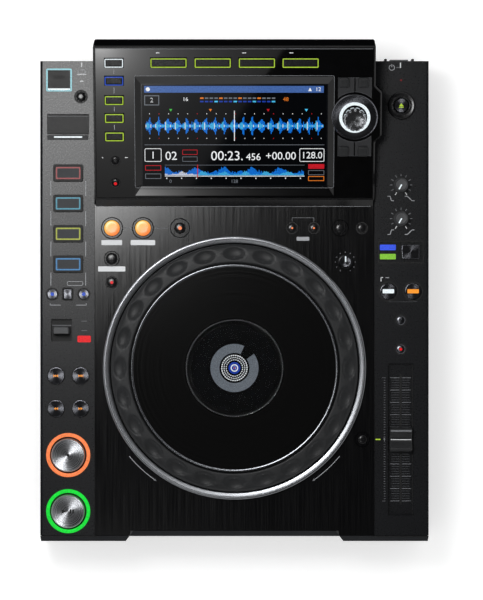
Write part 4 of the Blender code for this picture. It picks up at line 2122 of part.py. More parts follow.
def make_spindle_hub():
    top, under = hub_levels()
    shaft_foot = SLOT_LEVEL - DRIVE_FLOOR_DROP + DRIVE_SHEET + GAP
    profile = [
        (0.0, top + HUB_NOSE_RISE),
        (HUB_NOSE_RADIUS, top + HUB_NOSE_RISE),
        (HUB_NOSE_RADIUS, top),
        (HUB_TABLE_RADIUS, top),
        (HUB_TABLE_RADIUS, under),
        (HUB_SHAFT_RADIUS, under),
        (HUB_SHAFT_RADIUS, shaft_foot),
        (0.0, shaft_foot),
    ]
    hub = turned("spindle_hub", profile, (0.0, FRONT_Y + HUB_INSET, 0.0))
    return paint(hub, (0.05, 0.05, 0.055), 0.4)


def make_laser_sled():
    x, y, level = sled_place()
    sled = block("laser_sled", (SLED_WIDTH, SLED_LENGTH, SLED_HEIGHT), (x, y, level))
    lens_height = SLED_HEIGHT / 2 + LENS_RISE
    fuse(sled, [rod("lens", LENS_RADIUS, lens_height, (x, y, level + lens_height / 2))])
    bores = [
        rod(
            "bore",
            ROD_RADIUS + GAP,
            SLED_LENGTH + 2 * OVERRUN,
            (side * ROD_SPACING / 2, y, level),
            ALONG_Y,
            sides=PIN_SIDES,
        )
        for side in (-1, 1)
    ]
    cut(sled, bores)
    return paint(sled, (0.03, 0.03, 0.033), 0.4)


def make_feed_roller():
    """The rubber roller behind the slot, narrower in its middle so that it centres the disc."""
    half = ROLLER_LENGTH / 2
    end = DRIVE_WIDTH / 2
    profile = [
        (0.0, end),
        (ROLLER_SHAFT_RADIUS, end),
        (ROLLER_SHAFT_RADIUS, half),
        (ROLLER_RADIUS, half),
        (ROLLER_WAIST_RADIUS, 0.0),
        (ROLLER_RADIUS, -half),
        (ROLLER_SHAFT_RADIUS, -half),
        (ROLLER_SHAFT_RADIUS, -end),
        (0.0, -end),
    ]
    roller = turned("feed_roller", profile, roller_place(), ALONG_X)
    return paint(roller, (0.02, 0.02, 0.02), 0.8)


def make_plane():
    """The display panel's plane: its origin lies at the front lip and its Y runs up the slope."""
    plane = bpy.data.objects.new("display_plane", None)
    plane.location = (0.0, LIP_Y, LIP_Z)
    plane.rotation_euler = (TILT, 0.0, 0.0)
    PARTS.objects.link(plane)
    return plane


def build():
    make_base()
    make_left_cover()
    make_right_cover()
    make_deck()
    make_front_panel()
    make_rear_panel()
    plane = make_plane()
    make_display_housing(plane)
    make_display_panel(plane)
    make_touch_screen(plane)
    make_display_board(plane)
    make_panel_keys(plane)
    make_selector(plane)
    make_jog_post()
    make_jog_display()
    make_trim_ring()
    make_jog_dial()
    make_jog_plate()
    make_jog_window()
    make_left_keys()
    make_light_guide()
    make_cue_button("cue_button", LEFT["cue"])
    make_cue_button("play_button", LEFT["play"])
    make_right_keys()
    make_deck_keys()
    make_knob("brake_knob", RIGHT["brake"])
    make_knob("release_knob", RIGHT["release"])
    make_knob("jog_adjust_knob", DECK["jog_adjust"])
    make_fader()
    make_fader_rail()
    make_lever()
    make_lid("usb_cover", LEFT["usb_well"], USB_LID_WIDTH, USB_LID_LENGTH)
    make_lid("card_door", LEFT["card_well"], CARD_LID_WIDTH, CARD_LID_LENGTH)
    make_power_switch()
    make_left_board()
    make_right_board()
    make_deck_board()
    make_main_board()
    make_supply()
    make_jack_board()
    make_drive_frame()
    make_spindle_hub()
    make_laser_sled()
    make_feed_roller()
    for piece in PARTS.objects:
        if piece.type == "MESH":
            piece.data.shade_smooth()
            piece.data.set_sharp_from_angle(angle=SMOOTH_ANGLE)


clear_scene()
PARTS = new_collection("Disc player")
build()
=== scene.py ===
import math

import bmesh
import bpy
from mathutils import Matrix, Vector


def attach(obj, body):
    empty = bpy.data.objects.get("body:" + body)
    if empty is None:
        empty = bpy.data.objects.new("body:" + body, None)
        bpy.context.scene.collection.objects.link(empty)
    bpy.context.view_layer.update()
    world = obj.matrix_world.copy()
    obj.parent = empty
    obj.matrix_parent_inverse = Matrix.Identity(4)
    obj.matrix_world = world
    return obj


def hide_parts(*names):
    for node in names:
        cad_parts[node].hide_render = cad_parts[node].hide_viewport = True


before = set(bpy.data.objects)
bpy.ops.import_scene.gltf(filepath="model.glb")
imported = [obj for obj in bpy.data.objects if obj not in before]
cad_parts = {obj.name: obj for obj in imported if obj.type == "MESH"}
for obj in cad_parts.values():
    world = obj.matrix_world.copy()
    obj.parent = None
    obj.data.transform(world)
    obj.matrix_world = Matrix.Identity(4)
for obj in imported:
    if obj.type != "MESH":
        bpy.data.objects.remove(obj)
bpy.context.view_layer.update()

bl_info = {
    "name": "Tabletop Disc Player",
    "version": (1, 0, 0),
    "blender": (4, 5, 0),
    "location": "View3D > Sidebar > Disc Player",
    "description": "Dresses a tabletop disc player with its keys, lights, screens and finishes",
    "category": "Add Mesh",
}

# Lengths are in millimetres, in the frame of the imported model. Only the studio's are in metres.
MM = 0.001

# Levels: the deck is over the table, and the rest is over the deck
DECK_TOP = 78.0
PRINT_LIFT = 0.04
KEY_PROUD = 1.8
KEY_FOOT = -1.8
COLLARED_PROUD = 2.0
BUTTON_TOP = 4.84
EJECT_TOP = 2.6
KNOB_TOP = 10.96
JOG_WINDOW_TOP = 9.86
JOG_DISPLAY_TOP = 4.8
FLAP_TOP = -0.15
LAMP_SINK = -1.0
FADER_TOP = 7.25
FADER_FLOOR = -3.0
LEVER_FLOOR = -4.0

# The display panel's plane: its lower front edge and its tilt
PANEL_FRONT = (0.0, 75.1, 83.8)
PANEL_TILT = math.radians(15.517)
SCREEN_DEPTH = 3.3
SCREEN_MIDDLE = 53.62

# The jog wheel
JOG_CENTRE = (0.0, -63.07)
DIAL_PITCHES = 24
DIAL_OUTER = 101.6
DIAL_CREST = 87.9
DIAL_INNER = 86.5
DIAL_SHOULDER = 5.0
DIAL_CROWN = 4.6
DIAL_ROUNDNESS = 2.8
DIAL_DOTS = 90.4

# Rows and columns that several keys share
DECK_ROW = 52.0
LOOP_KEYS = (("loop_in_button", -100.8), ("loop_out_button", -75.3))
CALL_KEYS_X = (47.5, 65.4)
BANK_ROW = -2.4
BANK_ENDS_X = (-149.9, -124.0)
BANK_MIDDLE_X = -137.3
SYNC_X = 126.7
MASTER_X = 147.05
SOURCE_X = -98.0
MENU_ROW = 114.8

# The fader's scale: its marks, counted from the middle, and the step between them
FADER_MARKS = range(-25, 26)
FADER_PITCH = 2.03

# Round keys: place, radius, radius of the collar round it (0 where it has none)
SMALL_KEYS = {
    "usb_stop_key": [(-126.4, 160.3, 4.0, 5.2)],
    "beat_loop_keys": [(-101.0, 26.8, 4.9, 6.6), (-101.0, 7.3, 4.4, 0.0)],
    "cue_call_keys": [
        (CALL_KEYS_X[0], DECK_ROW, 4.0, 0.0),
        (CALL_KEYS_X[1], DECK_ROW, 4.0, 0.0),
        (87.1, DECK_ROW, 4.4, 7.2),
        (104.95, DECK_ROW, 4.0, 0.0),
    ],
    "reloop_button": [(-44.8, DECK_ROW, 4.6, 8.4)],
    "tempo_keys": [(136.9, -23.9, 4.0, 0.0), (136.9, -47.7, 4.0, 0.0)],
    "tempo_reset_key": [(105.3, -122.1, 3.9, 6.5)],
}
WING_EDGE_X = 116.0

# Places of the other pieces
SEARCH_KEYS = [(-146.9, -69.6), (-126.7, -69.6), (-146.9, -96.6), (-126.7, -96.6)]
PAD_PLACES = [("hot_cue_pad_a", 97.3), ("hot_cue_pad_b", 72.3), ("hot_cue_pad_c", 47.3), ("hot_cue_pad_d", 22.25)]
PAD_X = -136.9
PAD_LINKS_X = (-151.2, -122.5)
CUE_PLACE = (-136.9, -134.9)
PLAY_PLACE = (-136.9, -181.1)
EJECT_PLACE = (137.3, 152.85)
FADER_PLACE = (136.93, -122.03)
SOURCE_LEVELS = [114.7, 99.9, 83.7, 68.8, 53.4]
MENU_PLACES = [-53.5, -17.6, 18.3, 53.8]
TIME_PLACE = (-97.6, 32.7)
QUANTIZE_PLACE = (-97.6, 14.1)
SELECTOR_PLACE = (98.2, 69.7)


# Colour and nodes

def linear(code):
    """A hex colour as a designer writes it, turned to the renderer's linear light."""
    parts = [int(code[i:i + 2], 16) / 255 for i in (1, 3, 5)]
    return tuple(part / 12.92 if part <= 0.04045 else ((part + 0.055) / 1.055) ** 2.4 for part in parts) + (1.0,)


def dimmed(colour, share):
    """A share of a linear colour's light."""
    return tuple(share * part for part in colour[:3]) + (1.0,)


def add_node(tree, kind, inputs=None, **settings):
    """Adds a node, sets its own settings, and fills or links its input sockets."""
    node = tree.nodes.new(kind)
    for key, value in settings.items():
        setattr(node, key, value)
    for key, value in (inputs or {}).items():
        if isinstance(value, bpy.types.NodeSocket):
            tree.links.new(value, node.inputs[key])
        else:
            node.inputs[key].default_value = value
    return node


def new_finish(name, colour, roughness, sockets):
    """A material whose even values sit on the shader's own sockets."""
    material = bpy.data.materials.new(name)
    material.use_nodes = True
    shader = material.node_tree.nodes["Principled BSDF"]
    for key, value in {"Base Color": linear(colour), "Roughness": roughness, **sockets}.items():
        shader.inputs[key].default_value = value
    return material


def steer(material, pattern, gloss, height, bump):
    """Lets a pattern set how glossy a finish is from place to place, and raise it a little."""
    tree = material.node_tree
    shader = tree.nodes["Principled BSDF"]
    span = {"Value": pattern, "From Min": 0.3, "From Max": 0.7, "To Min": gloss[0], "To Max": gloss[1]}
    ranged = add_node(tree, "ShaderNodeMapRange", span)
    tree.links.new(ranged.outputs["Result"], shader.inputs["Roughness"])
    relief = add_node(tree, "ShaderNodeBump", {"Height": pattern, "Distance": height * MM, "Strength": bump})
    tree.links.new(relief.outputs["Normal"], shader.inputs["Normal"])


def grain_over(material, grain, shades, gloss, height, stretch=(1.0, 1.0, 1.0), bump=0.04):
    """Lays a mottle of a grain size over a finish: its colour, gloss and height follow it."""
    tree = material.node_tree
    place = add_node(tree, "ShaderNodeTexCoord").outputs["Object"]
    scaled = add_node(tree, "ShaderNodeMapping", {"Vector": place, "Scale": stretch})
    fine = add_node(
        tree, "ShaderNodeTexNoise", {"Vector": scaled.outputs[0], "Scale": 1 / (grain * MM), "Detail": 2.0}
    ).outputs["Fac"]
    broad = add_node(tree, "ShaderNodeTexNoise", {"Vector": place, "Scale": 1 / (40 * MM), "Detail": 3.0})
    both = add_node(
        tree, "ShaderNodeMath", {0: fine, 1: broad.outputs["Fac"], 2: 0.1}, operation="MULTIPLY_ADD"
    )
    ramp = add_node(tree, "ShaderNodeValToRGB", {"Fac": both.outputs[0]})
    for element, position, shade in zip(ramp.color_ramp.elements, (0.2, 0.6), shades):
        element.position = position
        element.color = shade
    tree.links.new(ramp.outputs["Color"], tree.nodes["Principled BSDF"].inputs["Base Color"])
    steer(material, fine, gloss, height, bump)
    return material


def tint(name, colour):
    """Sets the two ends of a finish's colour a little under and over the one asked for."""
    ramp = next(node for node in finish(name).node_tree.nodes if node.type == "VALTORGB").color_ramp
    for element, share in zip(ramp.elements, (0.8, 1.1)):
        element.color = dimmed(colour, share)


# Finishes: each of these makes one when it is first asked for by name

def finish(name):
    """Finds a finish by its name, or makes it the first time it is asked for."""
    return bpy.data.materials.get(name) or FINISHES[name](name)


def grained(colour, roughness, sockets, grain, shades, gloss, height, dull=False, **more):
    """A surface with a grain; where it is dull its sheen stays on faces that look up."""
    def make(name):
        material = new_finish(name, colour, roughness, sockets)
        grain_over(material, grain, [linear(shade) for shade in shades], gloss, height, **more)
        if dull:
            tree = material.node_tree
            facing = add_node(tree, "ShaderNodeNewGeometry")
            up = add_node(tree, "ShaderNodeSeparateXYZ", {0: facing.outputs["Normal"]}).outputs["Z"]
            span = {"Value": up, "From Min": 0.4, "From Max": 0.9, "To Min": 0.0, "To Max": 0.5}
            level = add_node(tree, "ShaderNodeMapRange", span)
            tree.links.new(level.outputs["Result"], tree.nodes["Principled BSDF"].inputs["Specular IOR Level"])
        return material
    return make


def turned(colour, roughness, sockets, groove, gloss, bump=0.1, swirl=0.0, twist=0.0):
    """A face with fine rings round its own middle; swirl spreads its sheen into a bow tie, and twist turns that."""
    def make(name):
        material = new_finish(name, colour, roughness, sockets)
        tree = material.node_tree
        shader = tree.nodes["Principled BSDF"]
        place = add_node(tree, "ShaderNodeTexCoord").outputs["Object"]
        flat = add_node(tree, "ShaderNodeVectorMath", {0: place, 1: (1.0, 1.0, 0.0)}, operation="MULTIPLY")
        radius = add_node(tree, "ShaderNodeVectorMath", {0: flat.outputs[0]}, operation="LENGTH").outputs["Value"]
        rings = add_node(
            tree,
            "ShaderNodeTexNoise",
            {"W": radius, "Scale": 1 / (groove * MM), "Detail": 1.0},
            noise_dimensions="1D",
        )
        steer(material, rings.outputs["Fac"], gloss, 0.01, bump)
        if swirl:
            shader.inputs["Anisotropic"].default_value = swirl
            shader.inputs["Anisotropic Rotation"].default_value = twist
            around = add_node(tree, "ShaderNodeTangent", direction_type="RADIAL", axis="Z")
            tree.links.new(around.outputs[0], shader.inputs["Tangent"])
        return material
    return make


def lit(colour, strength, shade="#0c0c0e", roughness=0.3):
    """A lamp behind clear plastic or a screen's pixel: light that is a little uneven, under a smooth face."""
    def make(name):
        material = new_finish(name, shade, roughness, {"Emission Strength": strength, "Specular IOR Level": 0.25})
        tree = material.node_tree
        place = add_node(tree, "ShaderNodeTexCoord").outputs["Object"]
        speck = add_node(tree, "ShaderNodeTexNoise", {"Vector": place, "Scale": 1 / (1.2 * MM), "Detail": 1.0})
        ramp = add_node(tree, "ShaderNodeValToRGB", {"Fac": speck.outputs["Fac"]})
        ramp.color_ramp.elements[0].position = 0.3
        ramp.color_ramp.elements[1].position = 0.6
        tree.links.new(ramp.outputs["Color"], tree.nodes["Principled BSDF"].inputs["Emission Color"])
        tint(name, linear(colour))
        return material
    return make


def pixel(colour, strength):
    """A pixel of a display, seen through its polished cover glass."""
    return lit(colour, strength, "#020203", 0.04)


def printed(colour):
    """Pad-printed ink: a thin matt film with slight gaps in its cover."""
    def make(name):
        shades = (dimmed(linear(colour), 0.8), linear(colour))
        return grain_over(new_finish(name, colour, 0.55, {}), 0.9, shades, (0.5, 0.65), 0.01)
    return make


def amber_cap(name):
    """A lit cap whose glow goes from yellow to orange across it: the yellow on the upper-left side, toward the key
    lamp, is a painted highlight.
    """
    material = new_finish(name, "#2a1206", 0.25, {"IOR": 1.58, "Emission Strength": 1.0})
    tree = material.node_tree
    place = add_node(tree, "ShaderNodeTexCoord").outputs["Object"]
    # Painted highlight: the glow turns yellow toward the upper left, where the key lamp is
    across = add_node(tree, "ShaderNodeVectorMath", {0: place, 1: (0.6, -0.8, 0.0)}, operation="DOT_PRODUCT")
    share = add_node(
        tree, "ShaderNodeMapRange", {"Value": across.outputs["Value"], "From Min": -6 * MM, "From Max": 6 * MM}
    )
    ramp = add_node(tree, "ShaderNodeValToRGB", {"Fac": share.outputs["Result"]})
    ramp.color_ramp.elements[0].color = linear("#ffc858")
    ramp.color_ramp.elements[1].color = linear("#f8823c")
    tree.links.new(ramp.outputs["Color"], tree.nodes["Principled BSDF"].inputs["Emission Color"])
    return material


METAL = {"Metallic": 1.0}

# Grains and grooves are in millimetres. The real ones are a few tenths at most, too fine to show
# in a picture of the whole player, so they are drawn three to ten times as coarse.
FINISHES = {
    # Black ABS moulded in a spark-eroded tool: an even fine grain, which spreads the light softly
    "abs_black": grained(
        "#0a0b0c", 0.3, {"IOR": 1.41}, 1.1, ("#070809", "#0c0d0e"), (0.26, 0.32), 0.02, dull=True, bump=0.015
    ),
    # The front skirt, in the case's ABS with a coarser grain, matt; its colour is a lighter copy of the case's,
    # painted light for its lit front face
    "skirt_painted_light": grained(
        "#2c2d2f", 0.5, {"IOR": 1.41}, 1.1, ("#28292b", "#323335"), (0.45, 0.58), 0.03, dull=True, bump=0.02
    ),
    # Black coated deck sheet with a hairline along its length: long streaks in its sheen
    "hairline_black": grained(
        "#030304", 0.17, {"IOR": 1.5}, 1.0, ("#020203", "#050506"), (0.13, 0.21), 0.01,
        stretch=(1.0, 0.02, 1.0), bump=0.02,
    ),
    # Black polycarbonate with a satin skin: smoother than the case beside it
    "housing_black": grained(
        "#070708", 0.24, {"IOR": 1.5}, 1.3, ("#050506", "#09090a"), (0.2, 0.28), 0.01, dull=True
    ),
    # Piano-black acrylic: a deep polished face that mirrors the lamps, with the faintest waviness
    "gloss_black": grained(
        "#030303", 0.03, {"IOR": 1.5}, 9.0, ("#020202", "#050506"), (0.02, 0.035), 0.01, bump=0.01
    ),
    # Aluminium turned on a lathe and anodised clear: satin, with fine rings that stretch its highlights
    "spun_silver": turned("#94969a", 0.3, METAL, 0.8, (0.24, 0.36)),
    # Polished aluminium lip of the plate: fine rings break each lamp into an arc
    "rim_silver": turned("#74767a", 0.2, METAL, 0.6, (0.16, 0.24), swirl=0.6),
    # Aluminium cap faced off on a lathe: rings round its own middle spread each highlight into a bow tie
    "brushed_silver": turned("#b9bbbf", 0.3, METAL, 0.7, (0.24, 0.34), swirl=0.9, twist=0.88),
    # Plastic plated in black chrome over a turned face: smoky, with a bow tie of light
    "chrome_dark": turned("#66676c", 0.2, METAL, 0.5, (0.15, 0.24), swirl=0.85),
    # Plastic plated in bright chrome over a turned face: the same bow tie, on a lighter ground
    "chrome_bright": turned("#a8aaae", 0.18, METAL, 0.5, (0.13, 0.22), swirl=0.85),
    # Black anodised plate, spun: close to a mirror across, with the faintest rings in its sheen
    "platter_black": turned("#050505", 0.12, {"IOR": 1.5}, 1.1, (0.1, 0.15), bump=0.01),
    # Black acetal key: smooth as moulded, rubbed a little shinier where fingers press
    "key_black": grained("#0a0a0b", 0.22, {"IOR": 1.48}, 1.6, ("#070708", "#101012"), (0.16, 0.28), 0.02),
    # Black nylon of the dial: a dry satin skin that keeps its highlights broad
    "dial_black": grained("#202123", 0.44, {"IOR": 1.36}, 1.2, ("#1b1c1d", "#262729"), (0.4, 0.5), 0.02),
    # Silicone rubber pad: dark grey, matt, with the fine dust it picks up
    "pad_grey": grained("#343639", 0.62, {"IOR": 1.41}, 0.8, ("#2e3033", "#3b3e41"), (0.55, 0.72), 0.03),
    # Soft-touch painted knob: a dull grey that hardly shines
    "knob_grey": grained("#3c3d3f", 0.5, {"IOR": 1.48}, 0.9, ("#343537", "#444547"), (0.42, 0.58), 0.02),
    # Black moulded flap: matt, a shade darker than the case
    "flap_black": grained("#0b0b0c", 0.5, {"IOR": 1.48}, 0.9, ("#080809", "#0e0e10"), (0.45, 0.58), 0.02),
    # Zinc-coated steel sheet, painted black: the paint's orange peel shows as a slight mottle
    "steel_coated": grained("#17181a", 0.4, {"IOR": 1.5}, 1.8, ("#111214", "#1e1f22"), (0.35, 0.5), 0.05),
    # Bare rolled steel of the parts inside: grey, with rolling marks along one way
    "steel_bare": grained(
        "#8f9196", 0.32, METAL, 0.9, ("#7c7e83", "#a2a4a8"), (0.26, 0.42), 0.02, stretch=(1.0, 0.06, 1.0)
    ),
    # Epoxy glass board under green lacquer: the weave makes a faint mottle
    "board_green": grained("#14462c", 0.35, {"IOR": 1.56}, 1.2, ("#103a24", "#1a5636"), (0.28, 0.42), 0.03),
    # Ground rubber of the feed roller: matt, with a fine ground surface
    "rubber_black": grained("#151515", 0.8, {"IOR": 1.52}, 0.7, ("#101010", "#1d1d1d"), (0.72, 0.9), 0.06),
    # Natural acetal of the drive's sled and hub: milky, slightly waxy
    "tray_ivory": grained("#c9c6bc", 0.35, {"IOR": 1.48}, 1.5, ("#bdbab0", "#d3d0c6"), (0.3, 0.42), 0.02),
    # Clear acrylic window over the jog wheel's display: it shows only by its reflections
    "clear_pane": grained(
        "#f2f5f6", 0.03, {"IOR": 1.49, "Transmission Weight": 1.0}, 8.0, ("#e9edef", "#f8fafb"), (0.02, 0.05), 0.01,
        bump=0.03,
    ),
    # The cover glass of a screen that is nearly dark: polished, with a trace of blue
    "screen_glass": grained("#07090d", 0.1, {"IOR": 1.5}, 1.5, ("#05070a", "#0b0e13"), (0.08, 0.14), 0.01),
    # Milky acrylic light guide: pale and even, as its filler scatters the light
    "guide_milk": grained("#c8d0cc", 0.3, {"IOR": 1.49}, 1.2, ("#bcc4c0", "#d4dcd8"), (0.25, 0.35), 0.02),
    # Tinted polycarbonate over an amber lamp; its glow is painted yellow on the upper-left side, toward the key
    # lamp, as a highlight, and orange on the other
    "amber_cap": amber_cap,
    # Inks, pad-printed on the deck, the panel and the key tops: matt, a little thin in places
    "ink_white": printed("#d8dadc"),
    "ink_grey": printed("#6c6e72"),
    "ink_dark": printed("#3c3e42"),
    "ink_black": printed("#050506"),
    "ink_block": printed("#202124"),
    "ink_silver": printed("#9ea0a4"),
    # Lamps: diodes behind diffusing plastic, so their light is soft and a little uneven
    "lamp_white": lit("#eef8fc", 1.0),
    "lamp_aqua": lit("#8fd8e4", 0.75),
    "lamp_orange": lit("#ff7f3f", 1.0),
    "lamp_green": lit("#20e840", 1.0),
    "lamp_amber": lit("#ff9c2e", 1.0),
    "lamp_lime": lit("#b4d63c", 0.9),
    "lamp_olive": lit("#a8b030", 0.8),
    "lamp_blue": lit("#2b58d8", 0.8),
    "lamp_sky": lit("#3a90a8", 0.8),
    "lamp_red": lit("#ee101a", 0.9),
    "lamp_steel": lit("#3f84bc", 0.8),
    "lamp_dim_red": lit("#a02024", 0.6),
    "lamp_mode_blue": lit("#3c5cf0", 0.9),
    "lamp_mode_green": lit("#8cd040", 0.85),
    # Lit cells of the displays, seen through their polished cover glass
    "pixel_black": pixel("#040608", 0.5),
    "pixel_white": pixel("#f4f6f8", 0.95),
    "pixel_grey": pixel("#7c828a", 0.7),
    "pixel_bar": pixel("#4668a8", 0.9),
    "pixel_wave": pixel("#1276e0", 1.0),
    "pixel_cyan": pixel("#4cc4f4", 1.0),
    "pixel_orange": pixel("#f08028", 0.9),
    "pixel_red": pixel("#c81c28", 0.9),
    "pixel_green": pixel("#46c04a", 0.9),
    "pixel_blue": pixel("#2040a8", 0.9),
}


# Shapes

def round_point(x, y, radius, angle):
    """The point at an angle on a circle round a place."""
    return (x + radius * math.cos(angle), y + radius * math.sin(angle))


def outline(half_width, half_length, corner, inset, steps):
    """A rounded rectangle drawn anticlockwise, or a circle where its corner fills it."""
    radius = max(corner - inset, 0.02)
    across = max(half_width - inset - radius, 0.0)
    along = max(half_length - inset - radius, 0.0)
    points = []
    for quarter, (side, end) in enumerate(((1, 1), (-1, 1), (-1, -1), (1, -1))):
        for i in range(steps + 1):
            angle = math.pi / 2 * (quarter + i / steps)
            points.append(round_point(side * across, end * along, radius, angle))
    return points


def to_mesh(shape, name, sharp):
    """Cleans a shape, turns it to a mesh and shades it smooth between its sharp edges."""
    bmesh.ops.remove_doubles(shape, verts=shape.verts, dist=2e-6)
    bmesh.ops.dissolve_degenerate(shape, edges=shape.edges, dist=1e-6)
    bmesh.ops.recalc_face_normals(shape, faces=shape.faces)
    mesh = bpy.data.meshes.new(name)
    shape.to_mesh(mesh)
    shape.free()
    mesh.shade_smooth()
    mesh.set_sharp_from_angle(angle=math.radians(sharp))
    return mesh


def skin(name, rows, sharp):
    """A closed skin over rows of points that each go once round it, with a face over both ends."""
    shape = bmesh.new()
    rings = [[shape.verts.new((x * MM, y * MM, z * MM)) for x, y, z in row] for row in rows]
    for low, high in zip(rings, rings[1:]):
        for i in range(len(low)):
            j = (i + 1) % len(low)
            shape.faces.new((low[i], low[j], high[j], high[i]))
    shape.faces.new(list(reversed(rings[0])))
    shape.faces.new(rings[-1])
    return to_mesh(shape, name, sharp)


def moulding(name, levels, half_width, half_length, corner, steps=6, sharp=40.0):
    """A closed moulding from levels of (inset, height), foot to crown."""
    rows = [
        [(x, y, height) for x, y in outline(half_width, half_length, corner, inset, steps)]
        for inset, height in levels
    ]
    return skin(name, rows, sharp)


def round_moulding(name, levels, radius, steps, sharp):
    """A moulding that is round in plan."""
    return moulding(name, levels, radius, radius, radius, steps, sharp)


def turning(name, profile, steps, sharp, rise=None):
    """A turned ring or disc from a closed profile of (radius, height); rise adds height by radius and angle."""
    shape = bmesh.new()
    rows = []
    for i in range(steps):
        angle = math.tau * i / steps
        row = []
        for radius, height in profile:
            x, y = round_point(0.0, 0.0, radius, angle)
            lift = rise(radius, height, angle) if rise else 0.0
            row.append(shape.verts.new((x * MM, y * MM, (height + lift) * MM)))
        rows.append(row)
    for i in range(steps):
        this, after = rows[i], rows[(i + 1) % steps]
        for k in range(len(profile)):
            nxt = (k + 1) % len(profile)
            at_pole = [profile[place][0] < 1e-6 for place in (k, nxt)]
            if all(at_pole):
                continue
            corners = [this[k], after[k], after[nxt], this[nxt]]
            if at_pole[0]:
                corners = [this[k], after[nxt], this[nxt]]
            elif at_pole[1]:
                corners = [this[k], after[k], this[nxt]]
            shape.faces.new(corners)
    return to_mesh(shape, name, sharp)


def on_deck(x, y, z=DECK_TOP):
    """A place on the deck, or at another height over the table."""
    return Matrix.Translation(Vector((x, y, z)) * MM)


def print_on_deck(x=0.0, y=0.0, above=0.0):
    """Where a print lies: on the deck, or on a face this far above it."""
    return on_deck(x, y, DECK_TOP + above + PRINT_LIFT)


def on_panel(x, v, height=0.0):
    """A place on the display panel, counted up its slope from its front edge."""
    plane = Matrix.Translation(Vector(PANEL_FRONT) * MM) @ Matrix.Rotation(PANEL_TILT, 4, "X")
    return plane @ Matrix.Translation(Vector((x, v, height)) * MM)


def print_on_panel(x=0.0, v=0.0, above=0.0):
    """Where a print lies: on the panel, or on a face this far above it."""
    return on_panel(x, v, above + PRINT_LIFT)


def add_object(name, data):
    """Puts an object with its data into the scene."""
    thing = bpy.data.objects.new(name, data)
    bpy.context.scene.collection.objects.link(thing)
    return thing


def fit(name, mesh, finishes, body, place, stands_for=()):
    """Puts a mesh in its place, gives it its finishes and lets it ride on its body."""
    piece = add_object(name, mesh)
    piece.matrix_world = place
    for each in finishes:
        mesh.materials.append(finish(each))
    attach(piece, body)
    if stands_for:
        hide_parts(*stands_for)


def fit_cap(name, mesh, ink, node, place):
    """Fits a cap that rides on the node it stands for."""
    fit(name, mesh, [ink], node, place, (node,))


class Drawing:
    """Flat marks and lit shapes in one plane, gathered into one thin mesh."""

    def __init__(self, name):
        self.name = name
        self.shape = bmesh.new()
        self.finishes = []
        self.lift = 0.0

    def fill(self, points, ink):
        if ink not in self.finishes:
            self.finishes.append(ink)
        corners = [self.shape.verts.new((x * MM, y * MM, self.lift * MM)) for x, y in points]
        self.shape.faces.new(corners).material_index = self.finishes.index(ink)

    def box(self, left, low, right, high, ink):
        self.fill([(left, low), (right, low), (right, high), (left, high)], ink)

    def line(self, start, end, width, ink):
        along = Vector((end[0] - start[0], end[1] - start[1])).normalized()
        side = Vector((-along.y, along.x)) * width / 2
        a, b = Vector(start), Vector(end)
        self.fill([tuple(a - side), tuple(b - side), tuple(b + side), tuple(a + side)], ink)

    def frame(self, x, y, width, length, corner, thick, ink):
        outer = outline(width / 2, length / 2, corner, 0.0, 5)
        inner = outline(width / 2, length / 2, corner, thick, 5)
        for i in range(len(outer)):
            j = (i + 1) % len(outer)
            points = [outer[i], outer[j], inner[j], inner[i]]
            if math.dist(outer[i], outer[j]) > 1e-4:
                self.fill([(x + a, y + b) for a, b in points], ink)

    def plate(self, x, y, width, length, corner, ink):
        points = outline(width / 2, length / 2, corner, 0.0, 5)
        kept = [p for p, q in zip(points, points[1:] + points[:1]) if math.dist(p, q) > 1e-4]
        self.fill([(x + a, y + b) for a, b in kept], ink)

    def arc(self, x, y, inner, outer, ink, start=0.0, end=360.0, steps=48):
        for i in range(steps):
            a, b = (math.radians(start + (end - start) * k / steps) for k in (i, i + 1))
            ends = ((inner, a), (outer, a), (outer, b), (inner, b))
            self.fill([round_point(x, y, radius, angle) for radius, angle in ends], ink)

    def disc(self, x, y, radius, ink, steps=24):
        self.fill([round_point(x, y, radius, math.tau * i / steps) for i in range(steps)], ink)

    def digits(self, text, x, y, size, ink):
        curve = bpy.data.curves.new("digits", "FONT")
        curve.body = text
        curve.size = size * MM
        curve.align_x = curve.align_y = "CENTER"
        letters = bpy.data.objects.new("digits", curve)
        mesh = bpy.data.meshes.new_from_object(letters)
        for polygon in mesh.polygons:
            corners = [mesh.vertices[i].co for i in polygon.vertices]
            self.fill([(x + c.x / MM, y + c.y / MM) for c in corners], ink)
        bpy.data.meshes.remove(mesh)
        bpy.data.objects.remove(letters)
        bpy.data.curves.remove(curve)

    def lay(self, body, place):
        """Turns the drawing into a piece on its body, its faces looking up from its plane."""
        mesh = bpy.data.meshes.new(self.name)
        for face in self.shape.faces:
            face.normal_update()
            if face.normal.z < 0:
                face.normal_flip()
        self.shape.to_mesh(mesh)
        self.shape.free()
        fit(self.name, mesh, self.finishes, body, place)


# Settings that a user would change

class DiscPlayerSizes(bpy.types.PropertyGroup):
    """Sizes of the dressed pieces."""
    dial_steps: bpy.props.IntProperty(
        name="Dial steps", description="Facets round the jog dial", default=288, min=96, max=960
    )
    dimple_width: bpy.props.FloatProperty(
        name="Dimple width", description="Length of a finger dimple along the dial", default=17.0 * MM, unit="LENGTH"
    )
    dimple_depth: bpy.props.FloatProperty(
        name="Dimple depth", description="Depth of a finger dimple in the dial", default=2.2 * MM, unit="LENGTH"
    )
    light_width: bpy.props.FloatProperty(
        name="Light ring width",
        description="Width of the lit rings round the cue and play buttons",
        default=2.9 * MM,
        unit="LENGTH",
    )
    knob_radius: bpy.props.FloatProperty(
        name="Knob radius", description="Radius of the small rotary knobs", default=5.9 * MM, unit="LENGTH"
    )


